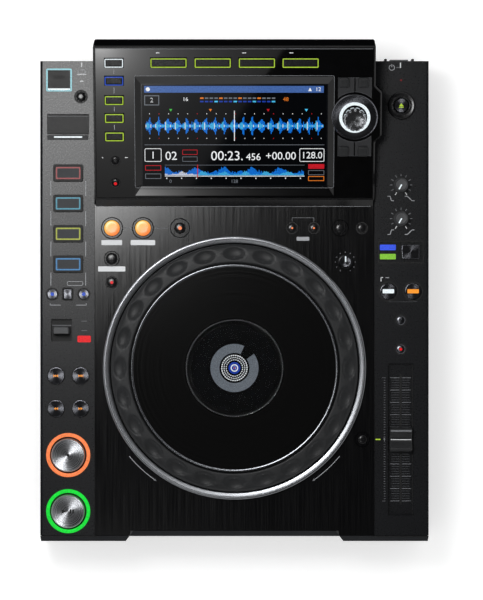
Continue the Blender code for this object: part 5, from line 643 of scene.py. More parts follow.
class DiscPlayerColours(bpy.types.PropertyGroup):
    """Colours of the lit rings and the case."""
    cue: bpy.props.FloatVectorProperty(
        name="Cue light", description="Colour of the cue ring", size=4, subtype="COLOR", default=linear("#ff8850")
    )
    play: bpy.props.FloatVectorProperty(
        name="Play light", description="Colour of the play ring", size=4, subtype="COLOR", default=linear("#14e03c")
    )
    case: bpy.props.FloatVectorProperty(
        name="Case", description="Colour of the moulded case", size=4, subtype="COLOR", default=linear("#101114")
    )


class DiscPlayerStudio(bpy.types.PropertyGroup):
    """The camera and the lamps."""
    camera_height: bpy.props.FloatProperty(
        name="Camera height", description="Height of the camera over the deck", default=2.8, unit="LENGTH"
    )
    lens: bpy.props.FloatProperty(name="Lens", description="Focal length in millimetres", default=204.0)
    key_power: bpy.props.FloatProperty(
        name="Key lamp", description="Power of the large soft lamp", default=24.6, unit="POWER"
    )
    front_power: bpy.props.FloatProperty(
        name="Front lamp", description="Power of the small soft lamp in front", default=6.8, unit="POWER"
    )


class CarriedOver(bpy.types.Operator):
    """Gives the carried-over case, boards and drive their finishes"""
    bl_idname = "disc_player.carried_over"
    bl_label = "Case and inner parts"

    def execute(self, context):
        wanted = {
            "abs_black": ("left_side_cover", "right_side_cover"),
            "skirt_painted_light": ("front_panel",),
            "hairline_black": ("deck_panel",),
            "housing_black": ("display_housing",),
            "gloss_black": ("display_panel",),
            "steel_coated": ("base_plate", "rear_panel", "tempo_fader_rail"),
            "steel_bare": ("drive_frame", "selector_plunger"),
            "board_green": (
                "main_board", "left_key_board", "right_key_board", "deck_key_board", "display_key_board",
                "rear_jack_board", "power_supply",
            ),
            "rubber_black": ("feed_roller",),
            "tray_ivory": ("laser_sled", "spindle_hub"),
            "dial_black": ("jog_pivot_post",),
            "screen_glass": ("touch_screen", "jog_display"),
            "guide_milk": ("light_guide",),
            "knob_grey": ("power_switch", "direction_lever"),
            "flap_black": ("card_door", "usb_cover"),
            "pad_grey": tuple(node for node, y in PAD_PLACES),
            "key_black": ("jog_mode_key", "menu_keys", "selector_keys", "eject_button"),
        }
        tint("abs_black", context.scene.disc_player_colours.case)
        for name, nodes in wanted.items():
            for node in nodes:
                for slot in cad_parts[node].material_slots:
                    slot.material = finish(name)
        return {"FINISHED"}


def dial_crown(out):
    """How high the dial's rounded shoulder stands at a share of the way from its crest to its edge."""
    return DIAL_SHOULDER + DIAL_CROWN * max(0.0, 1 - out ** DIAL_ROUNDNESS) ** (1 / DIAL_ROUNDNESS)


class JogWheel(bpy.types.Operator):
    """Builds the jog wheel: dial with its dimples, spun plate, trim ring, window and their fine rims"""
    bl_idname = "disc_player.jog_wheel"
    bl_label = "Jog wheel"

    def execute(self, context):
        sizes = context.scene.disc_player_sizes
        wide = sizes.dimple_width / MM / 2
        deep = sizes.dimple_depth / MM
        middle, long = 94.2, 5.2
        shoulder = DIAL_OUTER - DIAL_CREST

        def dent(radius, height, angle):
            if height < 2.0 or radius < DIAL_CREST - 0.6:
                return 0.0
            pitch = math.tau / DIAL_PITCHES
            off = (((angle + pitch / 2) % pitch) - pitch / 2) * middle
            away = (off / wide) ** 2 + ((radius - middle) / long) ** 2
            return -deep * math.sqrt(max(0.0, 1 - away)) ** 1.2 if away < 1 else 0.0

        profile = [(DIAL_INNER, 9.1), (DIAL_INNER + 0.5, 9.6)]
        for i in range(27):
            out = math.sin(math.pi / 2 * i / 26)
            profile.append((DIAL_CREST + shoulder * out, dial_crown(out)))
        profile += [(DIAL_OUTER, -3.9), (80.0, -3.9), (80.0, 6.6), (DIAL_INNER, 6.6)]
        dial = turning("jog_dial_grip", profile, sizes.dial_steps, 50.0, dent)
        centre = on_deck(*JOG_CENTRE)
        fit("jog_dial_grip", dial, ["dial_black"], "jog_wheel", centre, ("jog_dial",))
        plate = [(40.5, 7.4), (40.5, 9.4), (40.9, 9.8), (82.8, 9.8), (83.0, 9.6), (83.0, 7.4)]
        rim = [
            (83.1, 7.4), (83.1, 9.5), (83.5, 9.86), (84.1, 10.04),
            (84.7, 10.04), (85.2, 9.86), (85.5, 9.5), (85.5, 7.4),
        ]
        gap = [(85.6, 7.4), (85.6, 8.9), (86.2, 8.9), (86.2, 7.4)]
        ring = [
            (102.5, 0.2), (102.5, 3.0), (102.8, 3.28), (103.6, 3.49), (104.4, 3.68), (105.2, 3.84), (106.0, 3.95),
            (106.7, 4.0), (107.2, 3.97), (107.6, 3.88), (107.9, 3.74), (108.2, 3.44), (108.4, 2.9), (108.4, 0.3),
        ]
        pane = [(0.0, 8.5), (0.0, JOG_WINDOW_TOP), (39.8, JOG_WINDOW_TOP), (40.2, 9.5), (40.2, 8.5)]
        for name, section, steps, sharp, ink, body, nodes, slot in (
            ("jog_plate_top", plate, 192, 40.0, "platter_black", "jog_wheel", ("jog_plate",), "plate_gloss"),
            ("jog_plate_rim", rim, 240, 25.0, "rim_silver", "jog_wheel", (), "trim_metal"),
            ("jog_plate_gap", gap, 96, 40.0, "platter_black", "jog_wheel", (), "plate_gloss"),
            ("jog_trim_edge", ring, 240, 30.0, "spun_silver", "case", ("jog_trim_ring",), "trim_metal"),
            ("jog_window_pane", pane, 160, 40.0, "clear_pane", "jog_wheel", ("jog_window",), "window"),
        ):
            fit(name, turning(name, section, steps, sharp), [ink], body, centre, nodes)
        edge = Drawing("jog_window_line")
        edge.arc(0.0, 0.0, 39.2, 39.7, "ink_dark", steps=96)
        edge.lay("jog_wheel", print_on_deck(*JOG_CENTRE, JOG_WINDOW_TOP))
        dots = Drawing("jog_dial_dots")
        for i in range(DIAL_PITCHES):
            dots.disc(*round_point(0.0, 0.0, DIAL_DOTS, math.tau * i / DIAL_PITCHES), 0.35, "ink_dark", 10)
        level = dial_crown((DIAL_DOTS - DIAL_CREST) / shoulder)
        dots.lay("jog_wheel", on_deck(*JOG_CENTRE, DECK_TOP + level + 0.12))
        return {"FINISHED"}


class JogDisplay(bpy.types.Operator):
    """Draws the picture of the round display under the jog wheel's window"""
    bl_idname = "disc_player.jog_display"
    bl_label = "Jog display"

    def execute(self, context):
        picture = Drawing("jog_display_picture")
        picture.arc(0.0, 0.0, 12.4, 19.8, "pixel_grey", 66.0, 396.0, 96)
        picture.arc(0.0, 0.0, 5.2, 11.4, "pixel_black", steps=72)
        picture.lift = 0.02
        for count, dashes in ((36, ((9.9, 10.8, 7.0), (8.2, 8.9, 6.0))), (24, ((6.4, 7.1, 9.0),))):
            for i in range(count):
                start = i * 360.0 / count
                for inner, outer, reach in dashes:
                    picture.arc(0.0, 0.0, inner, outer, "pixel_white", start, start + reach, 4)
        picture.disc(0.0, 0.0, 4.9, "pixel_blue", 40)
        picture.lift = 0.04
        picture.disc(0.0, 0.0, 3.1, "pixel_white", 32)
        picture.lift = 0.06
        picture.disc(0.0, 0.0, 2.2, "pixel_blue", 28)
        picture.box(-0.9, -1.2, 0.9, 1.2, "pixel_white")
        picture.lift = 0.08
        picture.disc(0.0, 0.0, 0.6, "pixel_red", 16)
        picture.lay("case", print_on_deck(*JOG_CENTRE, JOG_DISPLAY_TOP))
        return {"FINISHED"}


def wave_height(place, seed):
    """How tall the sound's picture stands at a place: a beat with softer bits between."""
    beat = abs(math.sin(place * 0.41 + seed)) ** 6
    small = 0.5 + 0.5 * math.sin(place * 1.93 + 2.1 * seed) * math.sin(place * 0.77 + seed)
    rough = 0.5 + 0.5 * math.sin(place * 5.3 + math.sin(place * 1.7) * 3 + seed)
    return 0.1 + 0.55 * beat + 0.25 * small * rough + 0.1 * rough


class ScreenPicture(bpy.types.Operator):
    """Draws the touch screen's picture: two waveforms, beat marks, counters and number boxes"""
    bl_idname = "disc_player.screen_picture"
    bl_label = "Screen picture"

    def execute(self, context):
        picture = Drawing("screen_picture")
        picture.plate(0.0, 0.0, 150.8, 84.4, 0.6, "pixel_black")
        picture.lift = 0.03
        picture.box(-73.6, 35.6, 72.9, 41.2, "pixel_bar")
        picture.box(-73.6, 25.0, -61.4, 33.4, "pixel_grey")
        picture.lift = 0.06
        picture.box(-72.9, 25.7, -62.1, 32.7, "pixel_black")
        picture.disc(-70.6, 38.4, 1.7, "pixel_white", 20)
        picture.fill([(60.2, 36.9), (63.2, 36.9), (61.7, 39.9)], "pixel_white")
        self.beat_row(picture)
        self.large_wave(picture)
        self.counters(picture)
        self.small_wave(picture)
        picture.lay("case", print_on_panel(0.0, SCREEN_MIDDLE, -SCREEN_DEPTH))
        return {"FINISHED"}

    def beat_row(self, picture):
        """Numbers of the title bar, and the row of beats under it"""
        picture.digits("12", 68.4, 38.3, 4.6, "pixel_white")
        picture.digits("2", -67.5, 29.2, 5.4, "pixel_white")
        for i in range(16):
            left = -28.0 + i * 3.9
            picture.box(left, 30.4, left + 2.8, 31.6, "pixel_grey" if i % 4 else "pixel_orange")
            picture.box(left, 27.6, left + 2.8, 28.8, "pixel_cyan" if i % 4 == 3 else "pixel_blue")
        picture.digits("16", -40.0, 30.0, 4.6, "pixel_white")
        picture.digits("48", 42.0, 30.0, 4.6, "pixel_orange")

    def large_wave(self, picture):
        """The moving wave with its beat marks, its cue flags and the line of the place that plays"""
        middle, count, pitch = 7.8, 182, 0.8
        for i in range(count):
            x = -72.6 + i * pitch
            tall = 8.6 * min(1.0, wave_height(i * pitch, 0.4))
            picture.box(x, middle - tall, x + 0.62, middle + tall, "pixel_wave")
        picture.lift = 0.09
        for i in range(count):
            x = -72.6 + i * pitch
            tall = 4.6 * wave_height(i * pitch + 0.3, 0.9) ** 1.3
            picture.box(x, middle - tall, x + 0.5, middle + tall, "pixel_cyan" if i % 5 else "pixel_white")
        for i in range(-9, 10):
            for low in (-3.4, 17.2):
                left = i * 7.8 + 0.55
                picture.box(left, low + 0.4, left + 0.5, low + 1.2, "pixel_white" if i % 4 else "pixel_red")
        for x, ink in ((-52.0, "pixel_green"), (-19.6, "pixel_orange"), (27.6, "pixel_red"), (58.8, "pixel_cyan")):
            picture.fill([(x - 1.3, 22.0), (x + 1.3, 22.0), (x, 19.8)], ink)
        picture.lift = 0.12
        picture.box(-0.3, -4.6, 0.3, 20.6, "pixel_white")

    def counters(self, picture):
        """The row of counters, and the boxes beside the small wave"""
        picture.lift = 0.06
        picture.box(-73.6, -8.2, 73.6, -7.8, "pixel_grey")
        for text, x, y, size in (
            ("1", -66.7, -17.0, 8.4),
            ("02", -51.8, -17.6, 10.0),
            ("00:23.", -6.0, -17.6, 11.0),
            ("456", 15.6, -18.4, 8.2),
            ("+00.00", 38.0, -17.6, 9.0),
            ("128.0", 63.5, -17.0, 7.8),
        ):
            picture.digits(text, x, y, size, "pixel_white")
        for x, y, width, length, corner, thick, ink in (
            (-66.7, -16.6, 13.8, 11.2, 1.2, 0.5, "pixel_white"),
            (63.5, -16.6, 20.4, 11.2, 1.2, 0.5, "pixel_white"),
            (-36.5, -14.2, 12.4, 4.2, 0.5, 0.4, "pixel_red"),
            (-36.5, -20.0, 12.4, 4.2, 0.5, 0.4, "pixel_grey"),
            (67.1, -31.4, 13.1, 4.0, 0.4, 0.4, "pixel_grey"),
            (67.1, -36.4, 13.1, 4.0, 0.4, 0.5, "pixel_orange"),
            (-66.7, -27.4, 13.1, 4.4, 0.4, 0.5, "pixel_red"),
            (-66.7, -34.4, 13.1, 4.4, 0.4, 0.5, "pixel_grey"),
        ):
            picture.frame(x, y, width, length, corner, thick, ink)
        picture.box(60.6, -28.1, 73.7, -24.2, "pixel_red")

    def small_wave(self, picture):
        """The whole track's wave between its two lines, with its place mark and its scale"""
        foot, count, pitch = -33.8, 163, 0.7
        picture.box(-57.1, -34.6, 57.6, -34.1, "pixel_white")
        picture.box(-57.1, -25.2, 57.6, -24.9, "pixel_grey")
        for i in range(count):
            x = -57.0 + i * pitch
            tall = 7.4 * min(1.0, wave_height(i * 0.23, 1.4) + 0.15)
            picture.box(x, foot, x + 0.52, foot + tall, "pixel_wave")
        picture.lift = 0.09
        for i in range(count):
            x = -57.0 + i * pitch
            tall = 4.4 * wave_height(i * 0.31, 2.2)
            picture.box(x, foot, x + 0.4, foot + tall, "pixel_white" if i < 38 else "pixel_cyan")
        picture.lift = 0.12
        picture.box(-30.6, -35.4, -29.9, -24.6, "pixel_red")
        for i in range(10):
            left = -56.0 + i * 12.2
            picture.box(left, -36.6, left + 0.8, -35.6, "pixel_white")
        picture.digits("0", -52.5, -38.8, 4.0, "pixel_grey")
        picture.digits("128", 0.0, -38.8, 4.0, "pixel_grey")


class PanelMarks(bpy.types.Operator):
    """Draws the fine lines and dark fields printed on the display panel, and painted highlights: a light frame on
    the edge of the screen's bevel and light lines along the edges of the selector's channel
    """
    bl_idname = "disc_player.panel_marks"
    bl_label = "Display panel marks"

    def execute(self, context):
        marks = Drawing("panel_marks")
        # Painted highlight: a light grey frame on the upper edge of the bevel round the screen, where the edge
        # catches the lamp
        marks.frame(0.0, 57.1, 163.2, 94.2, 1.6, 0.35, "ink_grey")
        marks.line((-112.6, 126.2), (112.6, 126.2), 0.4, "ink_grey")
        for high, low in zip(SOURCE_LEVELS, SOURCE_LEVELS[1:]):
            marks.line((SOURCE_X, high - 5.6), (SOURCE_X, low + 5.6), 0.45, "ink_silver")
        for x in (-62.3, 8.0, 46.2):
            marks.line((x - 1.5, 122.9), (x + 1.5, 122.9), 0.7, "ink_white")
        marks.disc(-107.9, 35.6, 0.5, "ink_white", 12)
        marks.line((-89.8, 35.6), (-87.4, 35.6), 0.7, "ink_white")
        x, v = SELECTOR_PLACE
        half, radius = 13.8, 20.6
        corner = math.acos(half / radius)
        sweep = math.pi / 2 - 0.024 - corner
        for side in (-1, 1):
            for up in (-1, 1):
                edge = [(x + side * 0.5, v + up * 32.8), (x + side * half, v + up * 32.8)]
                for i in range(13):
                    across, along = round_point(0.0, 0.0, radius, corner + sweep * i / 12)
                    edge.append((x + side * across, v + up * along))
                marks.fill(edge if side * up < 0 else edge[::-1], "ink_block")
        # Painted highlights: light lines and arcs along the edges of the selector's channel, where its rim catches
        # the lamp
        marks.lift = 0.03
        for up in (-1, 1):
            marks.line((x - 13.6, v + up * 32.6), (x + 13.6, v + up * 32.6), 0.3, "ink_dark")
            marks.arc(x, v, 20.8, 21.1, "ink_dark", 90.0 * up - 41.0, 90.0 * up + 41.0, 32)
        marks.lay("case", print_on_panel())
        return {"FINISHED"}


# Sections of the round caps from rim to middle: (share of the radius inward, drop under the top)
CAP_SECTIONS = {
    "dome": [(0.0, 1.1), (0.05, 0.75), (0.16, 0.42), (0.34, 0.18), (0.6, 0.04), (0.8, 0.0)],
    "disc": [(0.0, 0.35), (0.02, 0.12), (0.06, 0.0), (0.09, 0.0), (0.5, 0.0), (0.9, 0.0)],
    "dish": [(0.0, 0.5), (0.06, 0.14), (0.14, 0.0), (0.5, 0.08), (0.9, 0.1)],
}


def round_cap(name, radius, proud, section, steps=10):
    """The cap of a round key, from its crown down to below its hole."""
    levels = [(0.0, KEY_FOOT)] + [(share * radius, proud - drop) for share, drop in CAP_SECTIONS[section]]
    return round_moulding(name, levels, radius, steps, 35.0)


def lay_spot(name, radius, ink, body, place, steps=20):
    """A round lamp or mark that rides on its body."""
    spot = Drawing(name)
    spot.disc(0.0, 0.0, radius, ink, steps)
    spot.lay(body, place)


class SmallKeys(bpy.types.Operator):
    """Builds the small round keys of the deck and the wings, with their domed caps and rings"""
    bl_idname = "disc_player.small_keys"
    bl_label = "Small round keys"

    def execute(self, context):
        rings = Drawing("key_rings")
        for node, keys in SMALL_KEYS.items():
            for i, (x, y, radius, collar) in enumerate(keys):
                name = f"{node}_cap_{i + 1}"
                proud = COLLARED_PROUD if collar and abs(x) < WING_EDGE_X else KEY_PROUD
                ink = "chrome_dark" if x > WING_EDGE_X else "key_black"
                fit_cap(name, round_cap(name, radius, proud, "dome"), ink, node, on_deck(x, y))
                if not collar:
                    rings.arc(x, y, radius + 0.15, radius + 1.0, "ink_black", steps=36)
        rings.arc(-101.0, 26.8, 5.1, 5.7, "ink_white")
        rings.arc(-44.8, DECK_ROW, 5.9, 8.4, "ink_dark")
        for node, x in LOOP_KEYS:
            rings.arc(x, DECK_ROW, 7.3, 9.1, "ink_dark")
            rings.arc(x, DECK_ROW, 6.2, 7.3, "ink_black")
        rings.lay("case", print_on_deck())
        lay_spot("key_lamps", 1.5, "lamp_orange", "reloop_button", print_on_deck(-44.8, DECK_ROW, COLLARED_PROUD))
        lay_spot("slip_lamp", 1.3, "lamp_red", "beat_loop_keys", print_on_deck(-101.0, 7.3, KEY_PROUD))
        lay_spot("master_tempo_lamp", 1.2, "lamp_red", "tempo_keys", print_on_deck(136.9, -47.7, KEY_PROUD))
        call = Drawing("call_lamps")
        for x in CALL_KEYS_X:
            call.disc(x, DECK_ROW, 0.8, "lamp_orange", 16)
        call.lay("cue_call_keys", print_on_deck(above=KEY_PROUD))
        for node, x in LOOP_KEYS:
            cap = round_cap(node + "_cap", 6.4, COLLARED_PROUD, "dish", 12)
            fit_cap(node + "_cap", cap, "amber_cap", node, on_deck(x, DECK_ROW))
        return {"FINISHED"}


class SearchKeys(bpy.types.Operator):
    """Builds the four search keys with their chrome caps and arrows"""
    bl_idname = "disc_player.search_keys"
    bl_label = "Search keys"

    def execute(self, context):
        arrows = Drawing("search_arrows")
        rings = Drawing("search_rings")
        for i, (x, y) in enumerate(SEARCH_KEYS):
            name = f"search_key_cap_{i + 1}"
            fit_cap(name, round_cap(name, 7.1, KEY_PROUD, "disc", 12), "chrome_dark", "search_keys", on_deck(x, y))
            side = 1 if x > PAD_X else -1
            for shift in (-0.9, 0.9):
                foot, tip = x + side * (shift - 0.8), x + side * (shift + 0.9)
                arrows.fill([(foot, y - 1.1), (tip, y), (foot, y + 1.1)], "lamp_amber")
            if i < 2:
                stop = x + side * 2.0
                arrows.box(stop - 0.2, y - 1.1, stop + 0.2, y + 1.1, "lamp_amber")
            rings.arc(x, y, 7.2, 8.0, "ink_black", steps=40)
        arrows.lay("search_keys", print_on_deck(above=KEY_PROUD))
        rings.lay("case", print_on_deck())
        return {"FINISHED"}


class CuePlay(bpy.types.Operator):
    """Builds the cue and play buttons with their lit rings"""
    bl_idname = "disc_player.cue_play"
    bl_label = "Cue and play buttons"

    def execute(self, context):
        colours = context.scene.disc_player_colours
        outer = 15.2 + context.scene.disc_player_sizes.light_width / MM
        levels = [(0.0, -2.9), (0.0, 4.1), (0.2, 4.6), (0.7, 4.9), (1.1, 4.9), (1.5, 4.86), (7.0, 4.82), (11.5, 4.8)]
        guide = [
            (15.2, -1.6), (15.2, 1.1), (15.5, 1.7), (16.2, 1.8), (outer - 0.5, 1.7), (outer, 1.0), (outer, -1.6),
        ]
        for node, place, ink, light in (
            ("cue_button", CUE_PLACE, "lamp_orange", colours.cue),
            ("play_button", PLAY_PLACE, "lamp_green", colours.play),
        ):
            cap = round_moulding(node + "_cap", levels, 13.7, 18, 30.0)
            fit_cap(node + "_cap", cap, "brushed_silver", node, on_deck(*place))
            ring = turning(node + "_light", guide, 96, 50.0)
            fit(node + "_light", ring, [ink], "case", on_deck(*place), ("light_guide",))
            tint(ink, light)
        # Black rings round the lights, and painted shade: black floors laid under the gaps round the caps so the
        # gaps look dark
        for name, inside, outside, level in (
            ("cue_play_surround", 18.15, 18.9, PRINT_LIFT),
            ("cue_play_gap_shade", 13.85, 15.2, -1.5),
        ):
            black = Drawing(name)
            for x, y in (CUE_PLACE, PLAY_PLACE):
                black.arc(x, y, inside, outside, "ink_black", steps=64)
            black.lay("case", on_deck(0.0, 0.0, DECK_TOP + level))
        play = Drawing("play_mark")
        play.fill([(-5.2, -1.7), (-1.6, 0.0), (-5.2, 1.7)], "ink_black")
        for left in (1.5, 3.7):
            play.box(left, -1.7, left + 1.2, 1.7, "ink_black")
        play.lay("play_button", print_on_deck(*PLAY_PLACE, BUTTON_TOP))
        lay_spot("cue_mark", 1.2, "ink_black", "cue_button", print_on_deck(*CUE_PLACE, BUTTON_TOP), 24)
        return {"FINISHED"}


class Pads(bpy.types.Operator):
    """Draws the coloured frames on the four hot cue pads and the links between them"""
    bl_idname = "disc_player.pads"
    bl_label = "Hot cue pads"

    def execute(self, context):
        around = Drawing("pad_surrounds")
        for (node, y), ink in zip(PAD_PLACES, ("lamp_dim_red", "lamp_sky", "lamp_olive", "lamp_steel")):
            around.frame(PAD_X, y, 25.0, 14.6, 1.6, 0.6, "ink_black")
            light = Drawing(node + "_frame")
            light.frame(0.0, 0.0, 23.8, 13.6, 1.4, 1.75, "ink_black")
            light.frame(0.0, 0.0, 20.3, 10.1, 0.9, 1.2, ink)
            light.lay(node, print_on_deck(PAD_X, y, KEY_PROUD))
        rows = [y for node, y in PAD_PLACES]
        links = [(high - 6.4, low + 6.4) for high, low in zip(rows, rows[1:])] + [(15.2, 4.6)]
        for start, end in links:
            for x in PAD_LINKS_X:
                around.line((x, start), (x, end), 0.5, "ink_silver")
        around.lay("case", print_on_deck())
        return {"FINISHED"}


class BankKeys(bpy.types.Operator):
    """Builds the three bank keys: two round ones and a square one in chrome"""
    bl_idname = "disc_player.bank_keys"
    bl_label = "Bank keys"

    def execute(self, context):
        rings = Drawing("bank_rings")
        glow = Drawing("bank_glow")
        for name, x in zip(("bank_key_cap_1", "bank_key_cap_3"), BANK_ENDS_X):
            cap = round_cap(name, 4.0, KEY_PROUD, "disc")
            fit_cap(name, cap, "chrome_dark", "bank_keys", on_deck(x, BANK_ROW))
            rings.arc(x, BANK_ROW, 4.2, 5.4, "ink_black", steps=36)
            glow.disc(x, BANK_ROW, 1.5, "lamp_blue")
        levels = [(0.0, KEY_FOOT), (0.0, 1.3), (0.1, 1.6), (0.3, 1.75), (0.5, 1.75), (2.4, 1.75)]
        square = moulding("bank_key_cap_2", levels, 3.4, 4.0, 0.9)
        fit_cap("bank_key_cap_2", square, "chrome_dark", "bank_keys", on_deck(BANK_MIDDLE_X, BANK_ROW))
        rings.frame(BANK_MIDDLE_X, BANK_ROW, 9.6, 11.0, 1.6, 1.0, "ink_black")
        rings.lay("case", print_on_deck())
        glow.lay("bank_keys", print_on_deck(above=KEY_PROUD))
        return {"FINISHED"}


class PanelKeys(bpy.types.Operator):
    """Builds the keys of the display panel: source, time, quantize, menu and selector keys"""
    bl_idname = "disc_player.panel_keys"
    bl_label = "Display panel keys"

    def execute(self, context):
        frames = Drawing("source_key_frames")
        for v, ink in zip(SOURCE_LEVELS, ("lamp_white", "lamp_blue", "lamp_lime", "lamp_lime", "lamp_lime")):
            frames.frame(SOURCE_X, v, 15.0, 7.2, 0.8, 0.75, ink)
        frames.lay("source_keys", print_on_panel(above=KEY_PROUD))
        frames = Drawing("menu_key_frames")
        for x in MENU_PLACES:
            frames.frame(x, MENU_ROW, 29.2, 7.6, 0.8, 0.75, "lamp_lime")
        frames.lay("menu_keys", print_on_panel(above=KEY_PROUD))
        levels = [(0.0, KEY_FOOT), (0.0, 1.3), (0.12, 1.65), (0.3, KEY_PROUD), (2.0, KEY_PROUD)]
        for i, v in enumerate(SOURCE_LEVELS):
            name = f"source_key_cap_{i + 1}"
            cap = moulding(name, levels, 7.75, 3.85, 1.2)
            fit_cap(name, cap, "key_black", "source_keys", on_panel(SOURCE_X, v))
        for name, place in (("time_key_cap", TIME_PLACE), ("quantize_key_cap", QUANTIZE_PLACE)):
            cap = round_cap(name, 4.0, KEY_PROUD, "dome")
            fit_cap(name, cap, "key_black", "source_keys", on_panel(*place))
        lay_spot("quantize_lamp", 1.3, "lamp_red", "source_keys", print_on_panel(*QUANTIZE_PLACE, KEY_PROUD))
        for i, x in enumerate(MENU_PLACES):
            name = f"menu_key_cap_{i + 1}"
            cap = moulding(name, levels, 14.8, 4.05, 1.2)
            fit_cap(name, cap, "key_black", "menu_keys", on_panel(x, MENU_ROW))
        levels = [(0.0, KEY_FOOT), (0.0, 0.9), (0.3, 1.5), (0.9, KEY_PROUD), (2.4, 1.6)]
        for i, (x, v) in enumerate(((89.4, 98.4), (105.2, 98.4), (89.4, 40.9), (105.2, 40.9))):
            name = f"selector_key_cap_{i + 1}"
            cap = moulding(name, levels, 4.2, 4.2, 1.4)
            fit_cap(name, cap, "dial_black", "selector_keys", on_panel(x, v))
        return {"FINISHED"}


class Selector(bpy.types.Operator):
    """Builds the rotary selector: a scalloped knob over its chrome plinth and white light"""
    bl_idname = "disc_player.selector"
    bl_label = "Rotary selector"

    def execute(self, context):
        place = on_panel(*SELECTOR_PLACE)
        cone = [(18.3, 0.02), (17.9, 1.6), (17.0, 1.75), (13.2, 2.5), (12.75, 2.62), (12.75, 0.02)]
        rim = [(18.9, 0.02), (18.8, 1.2), (18.3, 1.7), (17.9, 1.66), (17.9, 0.02)]
        for name, section in (("selector_plinth_cone", cone), ("selector_plinth_rim", rim)):
            fit(name, turning(name, section, 120, 30.0), ["chrome_dark"], "case", place, ())
        glow = Drawing("selector_light")
        glow.arc(0.0, 0.0, 10.2, 12.7, "lamp_white", steps=72)
        glow.lay("case", print_on_panel(*SELECTOR_PLACE, 2.4))
        rows = []
        for inset, height in ((0.0, 3.6), (0.0, 12.4), (0.35, 13.3), (1.1, 13.85), (2.6, 13.6), (6.0, 13.3)):
            row = []
            for i in range(144):
                angle = math.tau * i / 144
                dip = 0.75 * max(0.0, math.cos(12 * angle)) ** 3
                radius = 9.2 - inset - (dip if inset < 1.2 else 0.4 * dip)
                row.append((*round_point(0.0, 0.0, radius, angle), height))
            rows.append(row)
        grip = skin("selector_grip", rows, 32.0)
        fit_cap("selector_grip", grip, "chrome_bright", "selector_knob", place)
        return {"FINISHED"}


class Knobs(bpy.types.Operator):
    """Builds the two speed knobs and the jog adjust knob with their pointers and dials"""
    bl_idname = "disc_player.knobs"
    bl_label = "Rotary knobs"

    def execute(self, context):
        radius = context.scene.disc_player_sizes.knob_radius / MM
        levels = [(1.2, 0.3), (0.0, 0.3), (0.0, 1.5), (0.5, 2.2), (0.9, 9.8), (1.3, 10.6), (2.0, 10.95), (3.4, 10.8)]
        dial = Drawing("knob_dials")
        for node, x, y, pointing, ink in (
            ("brake_knob", 137.2, 87.55, 241.0, "knob_grey"),
            ("release_knob", 137.2, 59.8, 241.0, "knob_grey"),
            ("jog_adjust_knob", 91.2, 24.1, 90.0, "chrome_dark"),
        ):
            cap = round_moulding(node + "_cap", levels, radius, 14, 32.0)
            fit_cap(node + "_cap", cap, ink, node, on_deck(x, y))
            hand = Drawing(node + "_pointer")
            hand.line((0.0, 0.0), round_point(0.0, 0.0, 4.5, math.radians(pointing)), 1.1, "lamp_white")
            hand.lay(node, print_on_deck(x, y, KNOB_TOP))
            if node == "brake_knob":
                self.speed_dial(dial, x, y, -13.0, -9.3)
            elif node == "release_knob":
                self.speed_dial(dial, x, y, -9.3, -13.0)
            else:
                for i in range(11):
                    dial.disc(*round_point(x, y, 8.2, math.radians(30 * i - 60)), 0.42, "ink_grey", 10)
        dial.lay("case", print_on_deck())
        return {"FINISHED"}

    def speed_dial(self, dial, x, y, low, high):
        """The scale round a speed knob, and the two curves under it that go from high to low"""
        for i in range(11):
            angle = math.radians(30 * i - 60)
            inner, outer, ink = (7.1, 9.6, "ink_white") if i in (0, 10) else (7.2, 9.2, "ink_grey")
            dial.line(round_point(x, y, inner, angle), round_point(x, y, outer, angle), 0.6, ink)
        dial.arc(x, y, 6.1, 6.7, "ink_black", steps=40)
        for turns in (
            [(-11.2, high), (-9.0, high), (-8.0, low), (-5.8, low)],
            [(3.1, high), (5.2, high), (9.0, low), (11.0, low)],
        ):
            for a, b in zip(turns, turns[1:]):
                dial.line((x + a[0], y + a[1]), (x + b[0], y + b[1]), 0.55, "ink_silver")


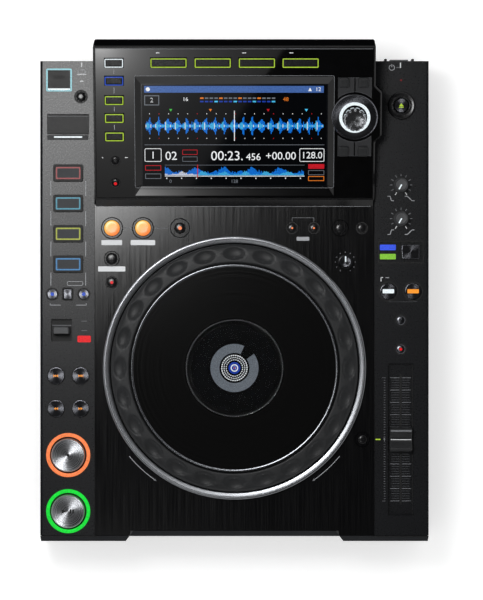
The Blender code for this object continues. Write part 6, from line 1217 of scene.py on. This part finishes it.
class RightWing(bpy.types.Operator):
    """Builds the eject key, sync and master keys, jog mode lamps and the wing's printed marks"""
    bl_idname = "disc_player.right_wing"
    bl_label = "Right wing"

    def execute(self, context):
        levels = [(0.0, -2.0), (0.0, 2.0), (0.15, 2.4), (0.4, 2.6), (0.7, 2.6), (3.6, 2.6), (5.2, 2.6)]
        cap = round_moulding("eject_cone", levels, 5.9, 14, 30.0)
        fit_cap("eject_cone", cap, "chrome_dark", "eject_button", on_deck(*EJECT_PLACE))
        arrow = Drawing("eject_mark")
        arrow.fill([(-1.9, -0.7), (1.9, -0.7), (0.0, 1.9)], "lamp_lime")
        arrow.box(-1.9, -1.8, 1.9, -1.15, "lamp_lime")
        arrow.lay("eject_button", print_on_deck(*EJECT_PLACE, EJECT_TOP))
        guard = [
            (6.9, 3.02), (7.3, 3.14), (8.6, 3.06), (9.4, 3.2), (10.2, 3.34), (10.9, 2.9), (11.4, 1.6), (11.5, 0.05),
            (11.3, 0.05), (6.9, 0.1),
        ]
        collar = turning("eject_guard_skin", guard, 96, 20.0)
        fit("eject_guard_skin", collar, ["key_black"], "case", on_deck(*EJECT_PLACE), ())
        for name, x, ink in (("sync_cap", SYNC_X, "lamp_white"), ("master_cap", MASTER_X, "lamp_amber")):
            cap = round_cap(name, 6.8, KEY_PROUD, "disc", 12)
            fit_cap(name, cap, "chrome_dark", "beat_sync_keys", on_deck(x, 0.0))
            face = Drawing(name + "_face")
            face.plate(0.0, 0.0, 9.4, 3.4, 0.4, ink)
            face.lay("beat_sync_keys", print_on_deck(x, 0.0, KEY_PROUD))
        self.print_marks()
        levels = [(0.0, -4.0), (0.0, 1.3), (0.15, 1.65), (0.4, 1.8), (0.7, 1.8), (3.0, 1.8)]
        cap = moulding("jog_mode_cap", levels, 7.3, 5.9, 0.9)
        fit_cap("jog_mode_cap", cap, "chrome_dark", "jog_mode_key", on_deck(144.9, 32.42))
        lamps = Drawing("jog_mode_lamps")
        lamps.plate(126.35, 36.1, 13.1, 4.6, 0.5, "lamp_mode_blue")
        lamps.plate(126.35, 28.55, 13.1, 4.5, 0.5, "lamp_mode_green")
        lamps.lay("case", print_on_deck(above=LAMP_SINK))
        return {"FINISHED"}

    def print_marks(self):
        """The wing's lines, frames and the fader's outer scale"""
        marks = Drawing("right_wing_marks")
        for x in (SYNC_X, MASTER_X):
            marks.arc(x, 0.0, 7.0, 8.3, "ink_black")
        marks.disc(137.3, 173.8, 0.8, "lamp_dim_red", 14)
        marks.arc(129.6, 184.2, 1.9, 2.5, "ink_silver", 115.0, 425.0, 24)
        marks.line((129.6, 184.6), (129.6, 187.0), 0.6, "ink_silver")
        marks.line((136.7, 184.0), (136.7, 188.2), 0.9, "ink_white")
        marks.line((133.2, 184.2), (136.3, 184.2), 0.5, "ink_grey")
        marks.box(116.2, -122.5, 120.2, -121.5, "lamp_lime")
        marks.digits("0", 123.4, -122.0, 2.6, "ink_silver")
        marks.frame(137.1, 32.2, 38.0, 18.6, 1.6, 0.9, "ink_black")
        for i in FADER_MARKS:
            y = -122.0 + i * FADER_PITCH
            reach = 2.8 if abs(i) == 25 else 1.4
            marks.line((124.3, y), (124.3 - reach, y), 0.28, "ink_grey")
        marks.line((120.6, 11.4), (122.4, 11.4), 0.6, "ink_white")
        marks.line((120.7, 11.6), (120.7, 8.0), 0.6, "ink_white")
        marks.line((124.4, 11.2), (127.4, 11.2), 0.6, "ink_silver")
        marks.line((127.0, -8.6), (150.6, -8.6), 0.3, "ink_dark")
        marks.lay("case", print_on_deck())


class Fader(bpy.types.Operator):
    """Builds the tempo fader's ribbed cap, its slot scale and its dark recess floor"""
    bl_idname = "disc_player.fader"
    bl_label = "Tempo fader"

    def execute(self, context):
        fit_cap(
            "tempo_fader_grip", self.grip(), "dial_black", "tempo_fader", on_deck(*FADER_PLACE, 0.0)
        )
        # The white line down the cap's middle is printed; the grey band along its rear crest is a painted highlight,
        # on the side toward the key lamp
        for name, low, high, ink, above in (
            ("tempo_fader_line", -0.32, 0.32, "ink_white", FADER_TOP - 3.05),
            ("tempo_fader_crest_highlight", 6.7, 7.9, "ink_grey", FADER_TOP),
        ):
            stripe = Drawing(name)
            stripe.box(-8.4, low, 8.4, high, ink)
            stripe.lay("tempo_fader", print_on_deck(*FADER_PLACE, above))
        slot = Drawing("tempo_slot_skin")
        slot.frame(0.0, 0.0, 20.4, 126.6, 1.2, 0.7, "ink_black")
        slot.box(-0.8, -53.0, 0.8, 54.0, "ink_black")
        for i in FADER_MARKS:
            y = i * FADER_PITCH
            reach, thick, ink = (7.5, 0.35, "ink_dark") if i % 5 else (8.6, 0.45, "ink_grey")
            for side in (-1, 1):
                slot.line((side * 1.0, y), (side * reach, y), thick, ink)
        slot.lay("case", print_on_deck(*FADER_PLACE, FADER_FLOOR))
        return {"FINISHED"}

    def grip(self):
        """The cap: its section, ribbed down to a ridge in its middle, drawn across with its ends chamfered"""
        low, top = DECK_TOP - 2.65, DECK_TOP + FADER_TOP
        half, wide = 10.2, 9.15
        near = [
            (-half, low), (-half, low + 1.6), (-half + 1.2, top - 0.9), (-half + 2.0, top - 0.1), (-half + 3.0, top),
        ]
        for i in range(5):
            y = -half + 3.6 + i * 1.05
            near += [(y, top - 0.15 - i * 0.55), (y + 0.35, top - 0.75 - i * 0.55)]
        near += [(-0.55, top - 3.5), (-0.4, top - 3.1)]
        section = near + [(-y, z) for y, z in reversed(near)]
        rows = [
            [(x, y * (1 - 0.03 * squeeze), z - (squeeze if z > low + 2 else 0.0)) for y, z in section]
            for x, squeeze in ((-wide, 0.5), (-wide + 0.5, 0.0), (wide - 0.5, 0.0), (wide, 0.5))
        ]
        return skin("tempo_fader_grip", rows, 28.0)


class LeftWing(bpy.types.Operator):
    """Draws the wells' lights, the lever's plates and the wing's printed marks"""
    bl_idname = "disc_player.left_wing"
    bl_label = "Left wing"

    def execute(self, context):
        marks = Drawing("left_wing_marks")
        marks.plate(-137.2, 126.6, 34.0, 4.0, 0.8, "ink_block")
        marks.lift = 0.05
        marks.box(-148.6, 126.4, -125.4, 127.6, "lamp_white")
        marks.lift = 0.0
        marks.plate(-123.8, -39.3, 11.0, 5.4, 0.9, "lamp_red")
        for y in (-24.6, -32.4):
            marks.line((-126.2, y), (-121.4, y), 0.4, "ink_grey")
        for x, end in ((-151.7, -143.1), (-122.1, -130.4)):
            marks.line((x, -11.4), (end, -11.4), 0.5, "ink_silver")
            marks.line((x, -11.6), (x, -9.9), 0.5, "ink_silver")
        marks.frame(-131.3, 6.4, 13.3, 3.6, 1.4, 0.4, "ink_silver")
        marks.arc(-126.4, 160.3, 4.2, 5.6, "ink_black", steps=40)
        marks.line((-125.9, 184.6), (-125.9, 188.2), 1.0, "ink_white")
        marks.frame(-125.9, 180.9, 6.0, 3.4, 0.5, 0.5, "ink_silver")
        marks.line((-129.7, 178.5), (-122.1, 178.5), 0.6, "ink_white")
        marks.line((-127.2, 173.0), (-124.4, 173.0), 0.9, "ink_white")
        marks.lay("case", print_on_deck())
        pit = Drawing("lever_recess_floor")
        pit.box(-150.8, -42.4, -134.1, -23.6, "ink_black")
        pit.lift = 0.05
        pit.line((-150.2, -28.1), (-134.7, -28.1), 0.7, "ink_grey")
        pit.lay("case", print_on_deck(above=LEVER_FLOOR))
        light = Drawing("usb_frame_light")
        light.frame(-144.45, 173.96, 21.2, 18.9, 1.2, 1.3, "lamp_aqua")
        light.box(-153.6, 164.8, -135.3, 167.0, "lamp_white")
        light.lay("case", print_on_deck(above=0.4))
        door = Drawing("card_door_edges")
        door.frame(-137.0, 137.6, 35.4, 15.8, 0.6, 0.6, "ink_black")
        door.line((-153.6, 144.2), (-120.4, 144.2), 0.35, "ink_grey")
        door.lay("card_door", print_on_deck(above=FLAP_TOP))
        # Painted shade: a black patch where the lid's notch is
        lid = Drawing("usb_lid_notch_shade")
        lid.plate(-144.45, 176.4, 9.0, 3.0, 1.4, "ink_black")
        lid.lay("usb_cover", print_on_deck(above=FLAP_TOP))
        return {"FINISHED"}


class DeckMarks(bpy.types.Operator):
    """Draws the deck's printed lines, a painted highlight line along the housing's lip, the arrows by the jog wheel,
    and painted shade: dark strips under the seams
    """
    bl_idname = "disc_player.deck_marks"
    bl_label = "Deck marks"

    def execute(self, context):
        marks = Drawing("deck_marks")
        for x, y, wide in ((-101.0, 40.1, 17.0), (-75.4, 40.1, 20.2), (-101.1, 18.4, 22.4)):
            marks.plate(x, y, wide, 4.2, 0.7, "ink_white")
        # Painted highlight: a light grey line along the foot of the display housing's lip, where its edge catches
        # the lamp
        marks.line((-114.4, 70.1), (112.0, 70.1), 0.8, "ink_silver")
        for start, end in ((220.0, 234.3), (305.7, 320.0)):
            marks.arc(*JOG_CENTRE, 112.9, 113.4, "ink_silver", start, end, 16)
        for degrees, turn in ((234.3, 1), (305.7, -1)):
            angle = math.radians(degrees)
            place = Vector(round_point(*JOG_CENTRE, 113.15, angle))
            side = Vector(round_point(0.0, 0.0, 1.0, angle))
            tip = place + Vector((-side.y, side.x)) * turn * 2.4
            marks.fill([tuple(tip), tuple(place + side * 0.9), tuple(place - side * 0.9)], "ink_grey")
        near, far = CALL_KEYS_X
        for start, end in (
            ((-93.5, DECK_ROW), (-83.0, DECK_ROW)),
            ((-66.5, DECK_ROW), (-58.0, DECK_ROW)),
            ((52.9, 60.5), (60.0, 60.5)),
            ((near, 60.5), (52.9, 60.5)),
            ((60.0, 60.5), (far, 60.5)),
            ((near, 57.6), (near, 60.5)),
            ((far, 57.6), (far, 60.5)),
            ((-58.0, DECK_ROW), (-54.4, DECK_ROW)),
        ):
            marks.line(start, end, 0.35, "ink_grey")
        marks.plate(56.4, 43.2, 10.6, 3.2, 0.7, "ink_silver")
        marks.lay("case", print_on_deck())
        # Painted shade: black strips laid just under the seams beside the side covers and along the front, so the
        # gaps look dark
        seams = Drawing("deck_seam_shade")
        for x in (-115.0, 115.0):
            seams.box(x - 1.3, -200.4, x + 1.3, 70.0, "ink_black")
        for x in (-136.4, 136.4):
            seams.box(x - 22.6, -202.4, x + 22.6, -199.8, "ink_black")
        seams.lay("case", on_deck(0.0, 0.0, DECK_TOP - 0.8))
        return {"FINISHED"}


# The studio: its lengths are in metres

def soften(lamp, hot, reach, fade):
    """The cloth of a soft box: brightest before its bulb, at half by its reach, and fading beyond it."""
    lamp.use_nodes = True
    tree = lamp.node_tree
    cloth = add_node(tree, "ShaderNodeNewGeometry")
    away = add_node(tree, "ShaderNodeVectorMath", {0: cloth.outputs["Position"], 1: hot}, operation="DISTANCE")
    far = add_node(tree, "ShaderNodeMath", {0: away.outputs["Value"], 1: reach}, operation="DIVIDE")
    fall = add_node(tree, "ShaderNodeMath", {0: far.outputs[0], 1: fade}, operation="POWER")
    over = add_node(tree, "ShaderNodeMath", {0: fall.outputs[0], 1: 1.0}, operation="ADD")
    share = add_node(tree, "ShaderNodeMath", {0: 1.0, 1: over.outputs[0]}, operation="DIVIDE")
    tree.links.new(share.outputs[0], tree.nodes["Emission"].inputs["Strength"])


def looked_at(tree):
    """1 where a thing is looked at, straight, in a mirror or through glass; 0 where it lights something."""
    path = add_node(tree, "ShaderNodeLightPath").outputs
    either = path["Is Camera Ray"]
    for other in ("Is Glossy Ray", "Is Transmission Ray"):
        either = add_node(tree, "ShaderNodeMath", {0: either, 1: path[other]}, operation="MAXIMUM").outputs[0]
    return either


class Studio(bpy.types.Operator):
    """Sets the pale floor, the soft lamps, the surroundings and the camera over the deck"""
    bl_idname = "disc_player.studio"
    bl_label = "Studio"

    def execute(self, context):
        settings = context.scene.disc_player_studio
        self.lay_floor()
        for name, width, length, place, turn, power, hot, reach, fade in (
            ("key_lamp", 0.7, 0.7, (-0.339, 0.339, 1.08), 45.0, settings.key_power, (-0.21, 0.24, 1.08), 0.165, 8.0),
            (
                "front_lamp", 0.42, 0.4, (-0.175, -0.600, 1.68), 59.6, settings.front_power,
                (-0.182, -0.584, 1.68), 0.025, 1.5,
            ),
        ):
            lamp = bpy.data.lights.new(name, "AREA")
            lamp.shape = "RECTANGLE"
            lamp.size = width
            lamp.size_y = length
            lamp.energy = power
            soften(lamp, hot, reach, fade)
            light = add_object(name, lamp)
            light.matrix_world = Matrix.Translation(place) @ Matrix.Rotation(math.radians(turn), 4, "Z")
        self.surround(context.scene)
        camera = bpy.data.cameras.new("photo_camera")
        camera.sensor_width = 36.0
        camera.lens = settings.lens
        camera.clip_end = 50.0
        context.scene.camera = add_object("photo_camera", camera)
        context.scene.camera.location = (0.0058, -0.0072, settings.camera_height + DECK_TOP * MM)
        context.scene.view_settings.view_transform = "Standard"
        return {"FINISHED"}

    def lay_floor(self):
        """A disc of pale paper, which glows a little where it is looked at"""
        shape = bmesh.new()
        bmesh.ops.create_circle(shape, cap_ends=True, segments=96, radius=9.0)
        mesh = bpy.data.meshes.new("studio_floor")
        shape.to_mesh(mesh)
        shape.free()
        floor = add_object("studio_floor", mesh)
        floor.location = (0.0, 0.0, -0.0005)
        material = new_finish("paper_backdrop", "#e2e2e2", 0.9, {"Emission Color": (1.0, 1.0, 1.0, 1.0)})
        tree = material.node_tree
        shader = tree.nodes["Principled BSDF"]
        place = add_node(tree, "ShaderNodeTexCoord").outputs["Object"]
        tooth = add_node(tree, "ShaderNodeTexNoise", {"Vector": place, "Scale": 400.0, "Detail": 1.0}).outputs["Fac"]
        relief = add_node(tree, "ShaderNodeBump", {"Height": tooth, "Distance": 0.0001, "Strength": 0.05})
        tree.links.new(relief.outputs["Normal"], shader.inputs["Normal"])
        glow = add_node(tree, "ShaderNodeMath", {0: looked_at(tree), 1: 0.42}, operation="MULTIPLY")
        tree.links.new(glow.outputs[0], shader.inputs["Emission Strength"])
        mesh.materials.append(material)

    def surround(self, scene):
        """A white room: where it is looked at it grows dark upward, and its light is even"""
        world = bpy.data.worlds.new("studio_surroundings")
        scene.world = world
        world.use_nodes = True
        tree = world.node_tree
        toward = add_node(tree, "ShaderNodeTexCoord").outputs["Generated"]
        up = add_node(tree, "ShaderNodeSeparateXYZ", {0: toward}).outputs["Z"]
        span = {"Value": up, "From Min": 0.25, "From Max": 0.62, "To Min": 1.0, "To Max": 0.03}
        height = add_node(tree, "ShaderNodeMapRange", span).outputs["Result"]
        strength = add_node(tree, "ShaderNodeMix", {"Factor": looked_at(tree), "A": 0.75, "B": height})
        sky = tree.nodes["Background"]
        tree.links.new(strength.outputs[0], sky.inputs["Strength"])
        sky.inputs["Color"].default_value = (1.0, 1.0, 1.0, 1.0)


OPERATORS = (
    CarriedOver, JogWheel, JogDisplay, ScreenPicture, PanelMarks, PanelKeys, Selector, SmallKeys, SearchKeys,
    BankKeys, CuePlay, Pads, Knobs, RightWing, Fader, LeftWing, DeckMarks, Studio,
)
GROUPS = {
    "disc_player_sizes": DiscPlayerSizes,
    "disc_player_colours": DiscPlayerColours,
    "disc_player_studio": DiscPlayerStudio,
}


class DiscPlayerPanel(bpy.types.Panel):
    """Lists the sizes, the colours and a button for each group of pieces"""
    bl_idname = "VIEW3D_PT_disc_player"
    bl_label = "Disc Player"
    bl_space_type = "VIEW_3D"
    bl_region_type = "UI"
    bl_category = "Disc Player"

    def draw(self, context):
        for name in GROUPS:
            group = getattr(context.scene, name)
            box = self.layout.box()
            for key in group.__annotations__:
                box.prop(group, key)
        for operator in OPERATORS:
            self.layout.operator(operator.bl_idname)


CLASSES = (*GROUPS.values(), *OPERATORS, DiscPlayerPanel)


def register():
    for each in CLASSES:
        bpy.utils.register_class(each)
    for name, group in GROUPS.items():
        setattr(bpy.types.Scene, name, bpy.props.PointerProperty(type=group))


def unregister():
    for name in GROUPS:
        delattr(bpy.types.Scene, name)
    for each in reversed(CLASSES):
        bpy.utils.unregister_class(each)


def main():
    register()
    for operator in OPERATORS:
        category, name = operator.bl_idname.split(".")
        getattr(getattr(bpy.ops, category), name)()


if __name__ == "__main__":
    main()
